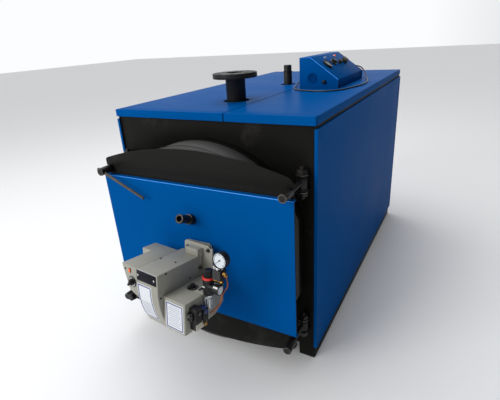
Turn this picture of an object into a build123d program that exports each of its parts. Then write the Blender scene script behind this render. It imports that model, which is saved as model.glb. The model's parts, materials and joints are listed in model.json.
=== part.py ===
"""Floor-standing hot-water boiler with a swing door and a burner on the door.

Millimetres. X runs to the right, Y to the back and Z up. The origin lies on the
floor, under the middle of the casing. The closed door faces -Y.
"""

import os
from math import cos, radians, sin, sqrt, tan

from build123d import *

os.makedirs("parts", exist_ok=True)

# Casing
casing_width = 950.0
casing_height = 1080.0
casing_length = 1690.0
sheet = 2.0
lid_lip = 32.0
lid_seam_x = 100.0
lid_seam_gap = 2.0
lid_shadow_gap = 12.0
panel_setback = 6.0
panel_flange = 11.0
panel_side_reach = 6.0
frame_depth = 60.0
frame_wall = 3.0

# Base
rail_height = 65.0
rail_width = 66.0
rail_wall = 6.0
rail_inset = 5.0
foot_inset = 78.0
cross_member_width = 90.0
cross_member_setback = 300.0
saddle_half_width = 260.0
saddle_thickness = 12.0

# Pressure vessel
drum_side_gap = 30.0
drum_top_gap = 112.0
drum_floor_gap = 78.0
drum_wall = 8.0
drum_plate_count = 6
tube_plate_thickness = 12.0
drum_length = 1440.0
weld_gap = 0.3
furnace_drop = 53.0
furnace_side_gap = 230.0
furnace_wall = 8.0
furnace_length = 1150.0
smoke_tube_radius = 28.5
smoke_tube_wall = 3.0
smoke_tube_count = 12
smoke_tube_inset = 160.0

# Front plate and door collar
front_plate_setback = 14.0
front_plate_thickness = 6.0
front_plate_top_gap = 2.0
collar_overlap = 6.0
collar_side_gap = 57.0
collar_wall = 8.0
collar_reach = 38.0

# Door, measured forwards from the casing's front edge
door_gap = 2.0
door_shell_depth = 91.0
lining_side_gap = 0.3
lining_back_gap = 1.0
door_plate_thickness = 8.0
door_plate_side_gap = 27.25
door_plate_shift = -5.25
door_plate_arc_radius = 1500.0
door_plate_inset = 9.0
door_plate_left_corner = 14.0
door_plate_right_corner = 36.0
cover_side_gap = 24.0
cover_top_inset = 137.0
cover_bottom_inset = 153.0
cover_depth = 23.0
cover_sheet = 3.0

# Hinge bolts and closing nuts at the door's four corners
closing_side_gap = 47.0
closing_inset = 112.5
stud_reach = 27.0
stud_radius = 10.0
stud_end = 10.0
eye_radius = 21.0
eye_rise = 14.0
eye_drop = 24.0
eye_side_gap = 1.0
bracket_thickness = 12.0
bracket_radius = 22.0
washer_radius = 23.5
washer_thickness = 3.0
nut_across_flats = 36.0
nut_height = 17.0
bolt_radius = 10.0
running_clearance = 0.06
closing_nut_radius = 17.0
closing_nut_length = 65.0
closing_nut_wall_end = 12.0
closing_nut_chamfer = 1.5
bolt_tip_gap = 2.0
loose_nut_clearance = 4.0
loose_bolt_grip = 15.0
cross_hole_radius = 6.3
cross_hole_from_end = 12.0
tommy_bar_radius = 6.0
tommy_bar_length = 264.0
tommy_bar_stub = 25.0
tommy_bar_angle = -23.5
slot_half_height = 12.0

# Water connections on the drum
nozzle_sink = 18.0
supply_x = -16.0
supply_from_front = 305.0
supply_pipe_radius = 44.45
supply_pipe_wall = 3.6
supply_flange_radius = 100.0
supply_flange_thickness = 22.0
supply_height = 122.0
flange_bolt_circle = 160.0
flange_bolt_hole_radius = 9.0
flange_bolt_count = 8
supply_cut_radius = 60.0
safety_from_front = 895.0
safety_pipe_radius = 24.15
safety_pipe_wall = 3.2
safety_pipe_height = 68.0
safety_cap_radius = 22.0
safety_cap_height = 37.0
safety_cap_chamfer = 2.0
safety_cut_radius = 42.0
return_drop = 83.0
return_reach = 110.0
drain_rise = 32.0
drain_radius = 16.85
drain_reach = 60.0
panel_hole_gap = 6.0

# Smoke box and flue outlet at the back
smoke_box_inset = 110.0
smoke_box_wall = 4.0
smoke_box_gap = 12.0
flue_radius = 125.0
flue_wall = 3.0
flue_reach = 100.0

# Control box on the right lid
control_left_x = 131.0
control_width = 205.0
control_from_front = 711.0
control_length = 480.0
control_height = 151.0
control_top_width = 55.0
control_lip_height = 41.0
fascia_thickness = 2.0
knockout_radius = 25.0
knockout_from_left = 70.0
knockout_height = 51.0

# Instruments on the sloped fascia: distance down the slope, and from the box's near or far end
thermometer_down = 77.0
thermometer_along = 85.0
thermometer_radius = 28.0
thermometer_depth = 11.0
thermostat_radius = 21.0
thermostat_down = 74.0
thermostat_from_far_end = 286.0
knob_radius = 14.0
knob_height = 20.0
knob_down = 87.0
knob_from_far_end = 208.0
limiter_down = 86.0
limiter_from_far_end = 122.0
limiter_width = 34.0
limiter_height = 26.0
lamp_down = 30.0
near_lamp_along = 160.0
far_lamp_from_far_end = 157.0
lamp_radius = 7.0
lamp_height = 12.0

# Cable that lies round the control box
cable_radius = 3.5
gland_radius = 7.0
gland_length = 14.0
gland_from_left = 134.0
gland_height = 32.0

# Sight tube
sight_x = 6.0
sight_rise = 156.0
sight_radius = 16.85
sight_bore = 12.0
sight_reach = 84.0
sight_socket_radius = 21.0
sight_socket_length = 28.0
sight_tilt = 26.0
sight_ring_radius = 18.5
sight_ring_length = 14.0
sight_hole_gap = 0.5

# Burner: its flange and blast tube are square to the door, its housing leans
burner_flange_x = 28.0
burner_rise = 8.0
burner_flange_width = 128.0
burner_flange_below = 106.0
burner_flange_above = 108.0
burner_flange_thickness = 10.0
burner_flange_corner = 14.0
blast_tube_radius = 55.0
blast_tube_wall = 4.0
blast_tube_reach = 60.0
blast_tube_gap = 6.0
burner_pitch = 8.0
burner_yaw = 6.0
housing_corner_x = 49.0
housing_corner_from_cover = 280.0
housing_corner_rise = 113.0
housing_width = 108.0
housing_length = 240.0
housing_height = 235.0
housing_front_drop = 48.0
belly_drop = 155.0
belly_back = 13.0
belly_bottom_back = 50.0
heel_start = 180.0
heel_back = 222.0
heel_drop = 212.0
heel_end_drop = 170.0
control_section_width = 83.0
control_section_length = 141.0
control_section_height = 100.0
control_section_taper = 37.0
control_section_slant = 18.0
duct_length = 133.0
duct_depth = 70.0
duct_height = 62.0
burner_knob_from_housing = 27.0
burner_knob_drop = 62.0
burner_knob_plate_radius = 21.0
burner_knob_plate_depth = 3.0
burner_knob_radius = 13.0
burner_knob_depth = 20.0
adjuster_from_housing = 44.0
adjuster_back = 34.0
adjuster_drop = 134.0
adjuster_radius = 12.5
adjuster_length = 36.0
adjuster_arm_back = 22.0
adjuster_arm_radius = 8.5
lower_box_width = 106.0
lower_box_drop = 88.0
lower_box_setback = 24.0
lower_box_height = 124.0
lower_box_slant_back = 190.0
lower_box_slant_drop = 205.0
lower_box_bottom_back = 110.0
dial_right = 42.0
dial_back = 134.0
dial_radius = 22.0
dial_thickness = 2.5
dial_grip_radius = 10.0
dial_grip_height = 15.0
neck_from_corner = 45.0
neck_drop = 87.0
neck_length = 70.0
rear_plate_shift = 14.0
rear_plate_width = 132.0
rear_plate_top = 41.0
rear_plate_drop = 190.0
rear_plate_corner = 8.0
side_ear_right = 50.0
side_ear_top = 32.0
side_ear_drop = 72.0
rear_plate_thickness = 6.0
rear_channel_width = 62.0
rear_channel_height = 28.0
rear_channel_depth = 30.0

# Air regulator, valve block and gauge, in the housing's own frame
regulator_right = 124.0
regulator_back = 130.0
regulator_up = -27.0
regulator_ring_height = 10.0
regulator_ring_radius = 25.0
regulator_knob_height = 33.0
regulator_knob_radius = 18.0
regulator_body_height = 58.0
regulator_body_radius = 21.0
regulator_bowl_height = 56.0
regulator_bowl_radius = 14.0
regulator_foot_reach = 40.0
regulator_foot_width = 30.0
regulator_foot_thickness = 3.0
side_gauge_drop = 20.0
side_gauge_forward = 9.0
side_gauge_reach = 34.0
side_gauge_stem = 5.0
side_gauge_radius = 18.5
side_gauge_depth = 30.0
valve_right = 174.0
valve_up = 30.0
valve_height = 38.0
valve_width = 34.0
valve_stem = 5.0
valve_stem_drop = 6.0
valve_stem_setback = 13.0
elbow_radius = 4.0
gauge_right = 184.0
gauge_stem_height = 7.0
gauge_stem_radius = 5.0
pressure_gauge_radius = 30.5
pressure_gauge_depth = 28.0

# Solenoid valves, in the housing's own frame
coil_back = 62.0
coil_up = -138.0
coil_width = 32.0
coil_height = 60.0
coil_reach = 32.0
coil_spacing = 36.0
coil_step = 12.0
small_coil_width = 27.0
small_coil_height = 52.0
small_coil_reach = 32.0
coil_base_up = -181.0
coil_base_width = 60.0
coil_base_height = 30.0
coil_base_reach = 26.0

# Heights and depths that follow from the sizes above
half_width = casing_width / 2
drum_room = (casing_height - drum_top_gap - drum_floor_gap) / 2
drum_radius = min(half_width - drum_side_gap, drum_room)
drum_center_z = drum_floor_gap + drum_radius
furnace_center_z = drum_center_z - furnace_drop
furnace_radius = drum_radius - furnace_side_gap
smoke_tube_ring_radius = drum_radius - smoke_tube_inset
smoke_box_radius = drum_radius - smoke_box_inset
return_z = drum_center_z + drum_radius - return_drop
drain_z = drum_floor_gap + drain_rise
collar_radius = drum_radius + collar_overlap
collar_half_width = half_width - collar_side_gap
door_plate_half_width = half_width - door_plate_side_gap
door_plate_half_height = drum_radius - door_plate_inset
cover_half_width = half_width - cover_side_gap
cover_top = drum_center_z + door_plate_half_height - cover_top_inset
cover_bottom = drum_center_z - door_plate_half_height + cover_bottom_inset
closing_x = half_width - closing_side_gap
closing_upper_z = drum_center_z + door_plate_half_height - closing_inset
closing_lower_z = drum_center_z - door_plate_half_height + closing_inset
sight_z = drum_center_z + sight_rise
burner_axis_z = furnace_center_z + burner_rise
burner_flange_bottom = burner_axis_z - burner_flange_below
burner_flange_top = burner_axis_z + burner_flange_above
housing_corner_z = burner_axis_z + housing_corner_rise
neck_right = -neck_from_corner
rear_plate_bottom = -rear_plate_drop
front_y = -casing_length / 2
rear_y = casing_length / 2
lid_underside = casing_height - sheet
lip_bottom = casing_height - lid_lip
panel_top = lip_bottom - lid_shadow_gap
panel_front = front_y + panel_setback
panel_rear = rear_y - panel_setback
panel_outer = half_width + panel_side_reach
belt_half_width = half_width - sheet - weld_gap
plate_front = front_y + front_plate_setback
plate_back = plate_front + front_plate_thickness
tube_plate_back = plate_back + tube_plate_thickness
drum_rear = tube_plate_back + drum_length
rear_plate_back = drum_rear + tube_plate_thickness
collar_front = plate_front - collar_reach
shell_back = collar_front - door_gap
door_plate_back = shell_back - door_shell_depth
door_plate_front = door_plate_back - door_plate_thickness
cover_front = door_plate_front - cover_depth
stud_y = plate_front - stud_reach
closing_nut_end = door_plate_front - closing_nut_length
nut_bore_depth = closing_nut_length - closing_nut_wall_end - cross_hole_from_end
corner_heights = (closing_upper_z, closing_lower_z)


def save(piece, name):
    """Labels a finished piece and writes its STEP file."""
    piece.part.label = name
    export_step(piece.part, f"parts/{name}.step")


def clipped_disc(radius, half_width_x):
    """Adds a disc with straight flanks to the sketch being built."""
    Circle(radius)
    Rectangle(2 * half_width_x, 2 * radius, mode=Mode.INTERSECT)


# Base rails: channels that carry the whole boiler, open towards each other
rail_front = plate_back + weld_gap
rail_length = panel_rear - rail_front
for side, name in ((-1, "base_rail_left"), (1, "base_rail_right")):
    web_x = side * (half_width - rail_inset)
    with BuildPart() as rail:
        with BuildSketch(Plane.XZ.offset(-rail_front)):
            with Locations((web_x - side * rail_width / 2, rail_height / 2)):
                Rectangle(rail_width, rail_height)
            with Locations((web_x - side * (rail_wall + rail_width) / 2, rail_height / 2)):
                Rectangle(rail_width - rail_wall, rail_height - 2 * rail_wall, mode=Mode.SUBTRACT)
        extrude(amount=-rail_length)
    save(rail, name)

# Cross members between the rails, one of them under the origin, each with a saddle cut to the drum
inner_half_gap = half_width - rail_inset - rail_width
cross_member_places = (
    front_y + cross_member_setback,
    0.0,
    rear_y - cross_member_setback,
)
with BuildPart() as cross_members:
    for place_y in cross_member_places:
        with BuildSketch(Plane.XY):
            with Locations((0, place_y)):
                Rectangle(2 * inner_half_gap, cross_member_width)
        extrude(amount=rail_height)
        with BuildSketch(Plane.XZ.offset(-place_y - saddle_thickness / 2)):
            with Locations((0, drum_center_z / 2)):
                Rectangle(2 * saddle_half_width, drum_center_z)
            with Locations((0, rail_height / 4)):
                Rectangle(2 * saddle_half_width, rail_height / 2, mode=Mode.SUBTRACT)
            with Locations((0, drum_center_z)):
                Circle(drum_radius + weld_gap, mode=Mode.SUBTRACT)
        extrude(amount=saddle_thickness)
save(cross_members, "base_cross_members")

# Drum: the water shell of long rolled plates, with a seam between each two
supply_y = front_y + supply_from_front
safety_y = front_y + safety_from_front
drum_plate_angle = 360 / drum_plate_count
wedge_height = 2 * drum_radius
wedge_half_width = wedge_height * tan(radians(drum_plate_angle / 2))
wedge = ((0, 0), (wedge_half_width, wedge_height), (-wedge_half_width, wedge_height))
with BuildPart() as drum:
    with BuildSketch(Plane.XZ.offset(-tube_plate_back)):
        with Locations((0, drum_center_z)):
            Circle(drum_radius)
            Circle(drum_radius - drum_wall, mode=Mode.SUBTRACT)
            Polygon(*wedge, align=None, mode=Mode.SUBTRACT)
            with PolarLocations(
                drum_radius - drum_wall / 2,
                drum_plate_count,
                start_angle=90 + drum_plate_angle / 2,
            ):
                Rectangle(2 * drum_wall, weld_gap, mode=Mode.SUBTRACT)
    extrude(amount=-drum_length)
save(drum, "boiler_drum")

# Crown plate of the drum, with openings for the two pipes on top
with BuildPart() as crown:
    with BuildSketch(Plane.XZ.offset(-tube_plate_back)):
        with Locations((0, drum_center_z)):
            Circle(drum_radius)
            Circle(drum_radius - drum_wall, mode=Mode.SUBTRACT)
            Polygon(*wedge, align=None, mode=Mode.INTERSECT)
    extrude(amount=-drum_length)
    with BuildSketch(Plane.XY.offset(drum_center_z)):
        with Locations((supply_x, supply_y)):
            Circle(supply_pipe_radius + weld_gap)
        with Locations((supply_x, safety_y)):
            Circle(safety_pipe_radius + weld_gap)
    extrude(amount=2 * drum_radius, mode=Mode.SUBTRACT)
save(crown, "drum_crown")

# Tube plates with the furnace mouth and the smoke tube holes


def tube_holes(radius):
    """Cuts the smoke tube pattern out of the sketch being built."""
    with Locations((0, furnace_center_z)):
        with PolarLocations(smoke_tube_ring_radius, smoke_tube_count):
            Circle(radius, mode=Mode.SUBTRACT)


with BuildPart() as front_tube_plate:
    with BuildSketch(Plane.XZ.offset(-plate_back)):
        with Locations((0, drum_center_z)):
            Circle(drum_radius)
        with Locations((0, furnace_center_z)):
            Circle(furnace_radius + weld_gap, mode=Mode.SUBTRACT)
        tube_holes(smoke_tube_radius + weld_gap)
    extrude(amount=-tube_plate_thickness)
save(front_tube_plate, "front_tube_plate")

with BuildPart() as rear_tube_plate:
    with BuildSketch(Plane.XZ.offset(-drum_rear)):
        with Locations((0, drum_center_z)):
            Circle(drum_radius)
        tube_holes(smoke_tube_radius + weld_gap)
        with Locations((0, return_z)):
            Circle(supply_pipe_radius + weld_gap, mode=Mode.SUBTRACT)
        with Locations((0, drain_z)):
            Circle(drain_radius + weld_gap, mode=Mode.SUBTRACT)
    extrude(amount=-tube_plate_thickness)
save(rear_tube_plate, "rear_tube_plate")

# Furnace: a blind tube in which the flame turns back to the door
with BuildPart() as furnace:
    with BuildSketch(Plane.XZ.offset(-plate_back)):
        with Locations((0, furnace_center_z)):
            Circle(furnace_radius)
            Circle(furnace_radius - furnace_wall, mode=Mode.SUBTRACT)
    extrude(amount=-furnace_length)
    with BuildSketch(Plane.XZ.offset(-plate_back - furnace_length)):
        with Locations((0, furnace_center_z)):
            Circle(furnace_radius)
    extrude(amount=-furnace_wall)
save(furnace, "furnace_tube")

# Smoke tubes from plate to plate
with BuildPart() as smoke_tubes:
    with BuildSketch(Plane.XZ.offset(-plate_back)):
        with Locations((0, furnace_center_z)):
            with PolarLocations(smoke_tube_ring_radius, smoke_tube_count):
                Circle(smoke_tube_radius)
                Circle(smoke_tube_radius - smoke_tube_wall, mode=Mode.SUBTRACT)
    extrude(amount=plate_back - rear_plate_back)
save(smoke_tubes, "smoke_tubes")

# Front plate with the opening that the collar frames, on two feet in front of the rails
with BuildPart() as front_plate:
    front_plate_top = lid_underside - front_plate_top_gap
    front_plate_half_width = panel_outer - sheet - panel_flange
    foot_width = front_plate_half_width - (half_width - foot_inset)
    with BuildSketch(Plane.XZ.offset(-plate_front)):
        with Locations((0, (front_plate_top + rail_height) / 2)):
            Rectangle(2 * front_plate_half_width, front_plate_top - rail_height)
        for side in (-1, 1):
            with Locations((side * (front_plate_half_width - foot_width / 2), rail_height / 2)):
                Rectangle(foot_width, rail_height)
        with BuildSketch(mode=Mode.PRIVATE) as opening:
            clipped_disc(collar_radius - collar_wall, collar_half_width - collar_wall)
        with Locations((0, drum_center_z)):
            add(opening.sketch, mode=Mode.SUBTRACT)
    extrude(amount=-front_plate_thickness)
save(front_plate, "front_plate")

# Collar: the round neck that the door closes against
with BuildPart() as collar:
    with BuildSketch(Plane.XZ.offset(-plate_front)):
        with BuildSketch(mode=Mode.PRIVATE) as outer:
            clipped_disc(collar_radius, collar_half_width)
        with BuildSketch(mode=Mode.PRIVATE) as inner:
            clipped_disc(collar_radius - collar_wall, collar_half_width - collar_wall)
        with Locations((0, drum_center_z)):
            add(outer.sketch)
            add(inner.sketch, mode=Mode.SUBTRACT)
    extrude(amount=collar_reach)
save(collar, "door_collar")

# Casing frame: a black sheet belt inside the lids and the side panels
belt_front = plate_back + weld_gap
belt_rear = panel_rear - sheet - weld_gap
with BuildPart() as casing_frame:
    with BuildSketch(Plane.XY.offset(lid_underside - frame_depth)):
        with Locations((0, (belt_front + belt_rear) / 2)):
            Rectangle(2 * belt_half_width, belt_rear - belt_front)
            Rectangle(
                2 * (belt_half_width - frame_wall),
                belt_rear - belt_front - 2 * frame_wall,
                mode=Mode.SUBTRACT,
            )
    extrude(amount=frame_depth)
save(casing_frame, "casing_frame")

# Side panels: trays with turned-in flanges all round, which stand proud of the lids
top_fold_width = panel_outer - belt_half_width - weld_gap
for side, name in ((-1, "side_panel_left"), (1, "side_panel_right")):
    panel_length = panel_rear - panel_front
    middle_y = (panel_front + panel_rear) / 2
    with BuildPart() as panel:
        with BuildSketch(Plane.XY.offset(rail_height)):
            with Locations((side * (panel_outer - sheet / 2), middle_y)):
                Rectangle(sheet, panel_length)
            for end_y in (panel_front + sheet / 2, panel_rear - sheet / 2):
                with Locations((side * (panel_outer - (panel_flange + sheet) / 2), end_y)):
                    Rectangle(panel_flange + sheet, sheet)
        extrude(amount=panel_top - rail_height)
        with BuildSketch(Plane.XY.offset(rail_height)):
            with Locations((side * (panel_outer - (panel_flange + sheet) / 2), middle_y)):
                Rectangle(panel_flange + sheet, panel_length)
        extrude(amount=sheet)
        with BuildSketch(Plane.XY.offset(panel_top)):
            with Locations((side * (panel_outer - top_fold_width / 2), middle_y)):
                Rectangle(top_fold_width, panel_length)
        extrude(amount=-sheet)
    save(panel, name)

# Rear panel between the side panels' flanges, with holes for the pipes
rear_half_width = panel_outer - sheet - panel_flange - weld_gap
rear_holes = (
    (furnace_center_z, flue_radius),
    (return_z, supply_pipe_radius),
    (drain_z, drain_radius),
)
with BuildPart() as rear_panel:
    with BuildSketch(Plane.XZ.offset(-panel_rear + sheet)):
        with Locations((0, (rail_height + panel_top) / 2)):
            Rectangle(2 * rear_half_width, panel_top - rail_height)
        for hole_z, hole_radius in rear_holes:
            with Locations((0, hole_z)):
                Circle(hole_radius + panel_hole_gap, mode=Mode.SUBTRACT)
    extrude(amount=-sheet)
save(rear_panel, "rear_panel")

# Lids: two sheet trays, lip down, that meet along a seam
lid_cuts = ((supply_y, supply_cut_radius), (safety_y, safety_cut_radius))
lid_spans = {
    "lid_left": (-half_width, lid_seam_x - lid_seam_gap / 2),
    "lid_right": (lid_seam_x + lid_seam_gap / 2, half_width),
}
for name, (low_x, high_x) in lid_spans.items():
    open_side = 1 if name == "lid_left" else -1
    middle_x = (low_x + high_x) / 2
    span = high_x - low_x
    with BuildPart() as lid:
        with BuildSketch(Plane.XY.offset(casing_height)):
            with Locations((middle_x, 0)):
                Rectangle(span, casing_length)
        extrude(amount=-lid_lip)
        with BuildSketch(Plane.XY.offset(lid_underside)):
            with Locations((middle_x + open_side * sheet, 0)):
                Rectangle(span, casing_length - 2 * sheet)
        extrude(amount=-lid_lip, mode=Mode.SUBTRACT)
        if name == "lid_left":
            with BuildSketch(Plane.XY.offset(casing_height)):
                for cut_y, cut_radius in lid_cuts:
                    with Locations((supply_x, cut_y)):
                        Circle(cut_radius)
            extrude(amount=-lid_lip, mode=Mode.SUBTRACT)
    save(lid, name)

# Supply pipe with its welding flange
supply_bottom = drum_center_z + drum_radius - nozzle_sink
supply_top = casing_height + supply_height
with BuildPart() as supply_pipe:
    with BuildSketch(Plane.XY.offset(supply_bottom)):
        with Locations((supply_x, supply_y)):
            Circle(supply_pipe_radius)
    extrude(amount=supply_top - supply_bottom)
    with BuildSketch(Plane.XY.offset(supply_top)):
        with Locations((supply_x, supply_y)):
            Circle(supply_flange_radius)
            with PolarLocations(flange_bolt_circle / 2, flange_bolt_count, start_angle=22.5):
                Circle(flange_bolt_hole_radius, mode=Mode.SUBTRACT)
    extrude(amount=-supply_flange_thickness)
    with BuildSketch(Plane.XY.offset(supply_bottom)):
        with Locations((supply_x, supply_y)):
            Circle(supply_pipe_radius - supply_pipe_wall)
    extrude(amount=supply_top - supply_bottom, mode=Mode.SUBTRACT)
save(supply_pipe, "supply_pipe")

# Safety nozzle and its screwed cap
safety_top = casing_height + safety_pipe_height
with BuildPart() as safety_nozzle:
    with BuildSketch(Plane.XY.offset(supply_bottom)):
        with Locations((supply_x, safety_y)):
            Circle(safety_pipe_radius)
            Circle(safety_pipe_radius - safety_pipe_wall, mode=Mode.SUBTRACT)
    extrude(amount=safety_top - supply_bottom)
    with BuildSketch(Plane.XY.offset(safety_top)):
        with Locations((supply_x, safety_y)):
            Circle(safety_cap_radius)
    extrude(amount=safety_cap_height)
    chamfer(safety_nozzle.faces().sort_by(Axis.Z)[-1].edges(), safety_cap_chamfer)
save(safety_nozzle, "safety_nozzle")

# Return pipe with the same flange, out of the back
return_front = drum_rear
return_end = rear_y + return_reach
with BuildPart() as return_pipe:
    with BuildSketch(Plane.XZ.offset(-return_front)):
        with Locations((0, return_z)):
            Circle(supply_pipe_radius)
    extrude(amount=return_front - return_end)
    with BuildSketch(Plane.XZ.offset(-return_end)):
        with Locations((0, return_z)):
            Circle(supply_flange_radius)
            with PolarLocations(flange_bolt_circle / 2, flange_bolt_count, start_angle=22.5):
                Circle(flange_bolt_hole_radius, mode=Mode.SUBTRACT)
    extrude(amount=supply_flange_thickness)
    with BuildSketch(Plane.XZ.offset(-return_front)):
        with Locations((0, return_z)):
            Circle(supply_pipe_radius - supply_pipe_wall)
    extrude(amount=return_front - return_end, mode=Mode.SUBTRACT)
save(return_pipe, "return_pipe")

# Drain nipple with a plug, low at the back
with BuildPart() as drain:
    with BuildSketch(Plane.XZ.offset(-drum_rear)):
        with Locations((0, drain_z)):
            Circle(drain_radius)
    extrude(amount=drum_rear - rear_y - drain_reach)
    with BuildSketch(Plane.XZ.offset(-rear_y - drain_reach)):
        with Locations((0, drain_z)):
            RegularPolygon(drain_radius + sheet, 6)
    extrude(amount=-drain_radius)
save(drain, "drain_nipple")

# Smoke box behind the rear tube plate: a round wall, a cover and the flue outlet through it
smoke_box_rear = panel_rear - sheet - smoke_box_gap
smoke_cover_front = smoke_box_rear - smoke_box_wall
with BuildPart() as smoke_box:
    with BuildSketch(Plane.XZ.offset(-rear_plate_back)):
        with Locations((0, furnace_center_z)):
            Circle(smoke_box_radius)
            Circle(smoke_box_radius - smoke_box_wall, mode=Mode.SUBTRACT)
    extrude(amount=rear_plate_back - smoke_cover_front)
save(smoke_box, "smoke_box")

with BuildPart() as smoke_box_cover:
    with BuildSketch(Plane.XZ.offset(-smoke_cover_front)):
        with Locations((0, furnace_center_z)):
            Circle(smoke_box_radius)
            Circle(flue_radius + weld_gap, mode=Mode.SUBTRACT)
    extrude(amount=-smoke_box_wall)
save(smoke_box_cover, "smoke_box_cover")

with BuildPart() as flue_outlet:
    with BuildSketch(Plane.XZ.offset(-smoke_cover_front)):
        with Locations((0, furnace_center_z)):
            Circle(flue_radius)
            Circle(flue_radius - flue_wall, mode=Mode.SUBTRACT)
    extrude(amount=smoke_cover_front - rear_y - flue_reach)
save(flue_outlet, "flue_outlet")

# Control box with its sloped fascia: the slope's own X runs down it, its own Y to the back
control_right_x = control_left_x + control_width
control_front = front_y + control_from_front
control_top = casing_height + control_height
slope_top = (control_left_x + control_top_width, control_top)
slope_bottom = (control_right_x, casing_height + control_lip_height)
slope_run = slope_bottom[0] - slope_top[0]
slope_drop = slope_top[1] - slope_bottom[1]
slope_length = sqrt(slope_run**2 + slope_drop**2)
slope_plane = Plane(
    origin=(slope_top[0], control_front, slope_top[1]),
    x_dir=(slope_run, 0, -slope_drop),
    z_dir=(slope_drop, 0, slope_run),
)
with BuildPart() as control_box:
    with BuildSketch(Plane.XZ.offset(-control_front)):
        with BuildLine():
            Polyline(
                (control_left_x, casing_height),
                (control_left_x, control_top),
                slope_top,
                slope_bottom,
                (control_right_x, casing_height),
                close=True,
            )
        make_face()
    extrude(amount=-control_length)
    with BuildSketch(Plane.XZ.offset(-control_front)):
        with Locations((control_left_x + gland_from_left, casing_height + gland_height)):
            Circle(gland_radius)
    extrude(amount=gland_length)
    with BuildSketch(slope_plane):
        with Locations((slope_length / 2, control_length / 2)):
            Rectangle(slope_length - 2 * sheet, control_length - 2 * sheet)
    extrude(amount=fascia_thickness)
save(control_box, "control_box")

# Instruments on the fascia: thermometer, thermostat, knob, limiter and two lamps above them
instrument_plane = slope_plane.offset(fascia_thickness)
lamp_places = (
    (lamp_down, near_lamp_along),
    (lamp_down, control_length - far_lamp_from_far_end),
)
with BuildPart() as instruments:
    with BuildSketch(instrument_plane):
        with Locations((thermometer_down, thermometer_along)):
            Circle(thermometer_radius)
    extrude(amount=thermometer_depth)
    with BuildSketch(instrument_plane):
        with Locations((thermostat_down, control_length - thermostat_from_far_end)):
            Circle(thermostat_radius)
        with Locations((knob_down, control_length - knob_from_far_end)):
            Circle(knob_radius)
    extrude(amount=knob_height)
    with BuildSketch(instrument_plane):
        with Locations((limiter_down, control_length - limiter_from_far_end)):
            Rectangle(limiter_width, limiter_width)
    extrude(amount=limiter_height)
    with BuildSketch(instrument_plane):
        with Locations(*lamp_places):
            Circle(lamp_radius)
    extrude(amount=lamp_height)
save(instruments, "control_instruments")

# Cable: out of the box's left side, over the lid round its near end, and into its far end
cable_route = [
    (130, 899, 56),
    (103, 893, 55),
    (93, 856, 49),
    (99, 812, 37),
    (104, 768, 23),
    (105, 727, 9.5),
    (110, 688, 4.2),
    (127, 650, 3.9),
    (162, 620, 3.8),
    (206, 600, 3.8),
    (256, 586, 3.8),
    (306, 583, 3.8),
    (348, 606, 3.8),
    (376, 650, 3.8),
    (396, 712, 3.8),
    (414, 782, 3.8),
    (425, 858, 3.8),
    (424, 934, 3.8),
    (412, 1008, 3.8),
    (394, 1078, 3.9),
    (374, 1140, 5),
    (360, 1186, 14),
    (345, 1220, 34),
    (319, 1238, 57),
    (292, 1224, 69),
    (288, 1191.7, 67),
]
cable_points = [Vector(x, front_y + y, casing_height + z) for x, y, z in cable_route]
cable_runs = [after - before for before, after in zip(cable_points, cable_points[1:])]
cable_bends = [
    0.45 * min(before.length, after.length) / tan(radians(before.get_angle(after) / 2))
    for before, after in zip(cable_runs, cable_runs[1:])
]
print("cable radii", [round(bend) for bend in cable_bends])
with BuildPart() as cable:
    with BuildLine() as cable_path:
        FilletPolyline(*cable_points, radius=cable_bends)
    with BuildSketch(Plane(cable_points[0], z_dir=cable_runs[0])):
        Circle(cable_radius)
    sweep(path=cable_path.wire())
print("cable length", round(cable_path.wire().length), "volume", round(cable.part.volume))
save(cable, "control_cable")

# Brackets for the hinge bolts: two lugs a corner, welded to the front plate
upper_lug = eye_rise + eye_side_gap
lower_lug = eye_drop + eye_side_gap
corners = [(x, z) for x in (-closing_x, closing_x) for z in corner_heights]
with BuildPart() as brackets:
    for corner_x, corner_z in corners:
        for lug_bottom in (corner_z + upper_lug, corner_z - lower_lug - bracket_thickness):
            with BuildSketch(Plane.XY.offset(lug_bottom)):
                with Locations((corner_x, (stud_y + plate_front) / 2)):
                    Rectangle(2 * bracket_radius, stud_reach)
                with Locations((corner_x, stud_y)):
                    Circle(bracket_radius)
                    Circle(stud_radius + weld_gap, mode=Mode.SUBTRACT)
            extrude(amount=bracket_thickness)
save(brackets, "hinge_brackets")

# Hinge bolts: upright studs with a washer and a nut at each end
stacks = ((1, upper_lug + bracket_thickness), (-1, lower_lug + bracket_thickness))
stud_beyond = washer_thickness + nut_height + stud_end
stud_drop = lower_lug + bracket_thickness + stud_beyond
stud_length = stud_drop + upper_lug + bracket_thickness + stud_beyond
with BuildPart() as hinge_bolts:
    for corner_x, corner_z in corners:
        with BuildSketch(Plane.XY.offset(corner_z - stud_drop)):
            with Locations((corner_x, stud_y)):
                Circle(stud_radius)
        extrude(amount=stud_length)
        for direction, stack in stacks:
            with BuildSketch(Plane.XY.offset(corner_z + direction * stack)):
                with Locations((corner_x, stud_y)):
                    Circle(washer_radius)
            extrude(amount=direction * washer_thickness)
            with BuildSketch(Plane.XY.offset(corner_z + direction * (stack + washer_thickness))):
                with Locations((corner_x, stud_y)):
                    RegularPolygon(nut_across_flats / 2, 6, major_radius=False)
            extrude(amount=direction * nut_height)
save(hinge_bolts, "hinge_bolts")

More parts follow.
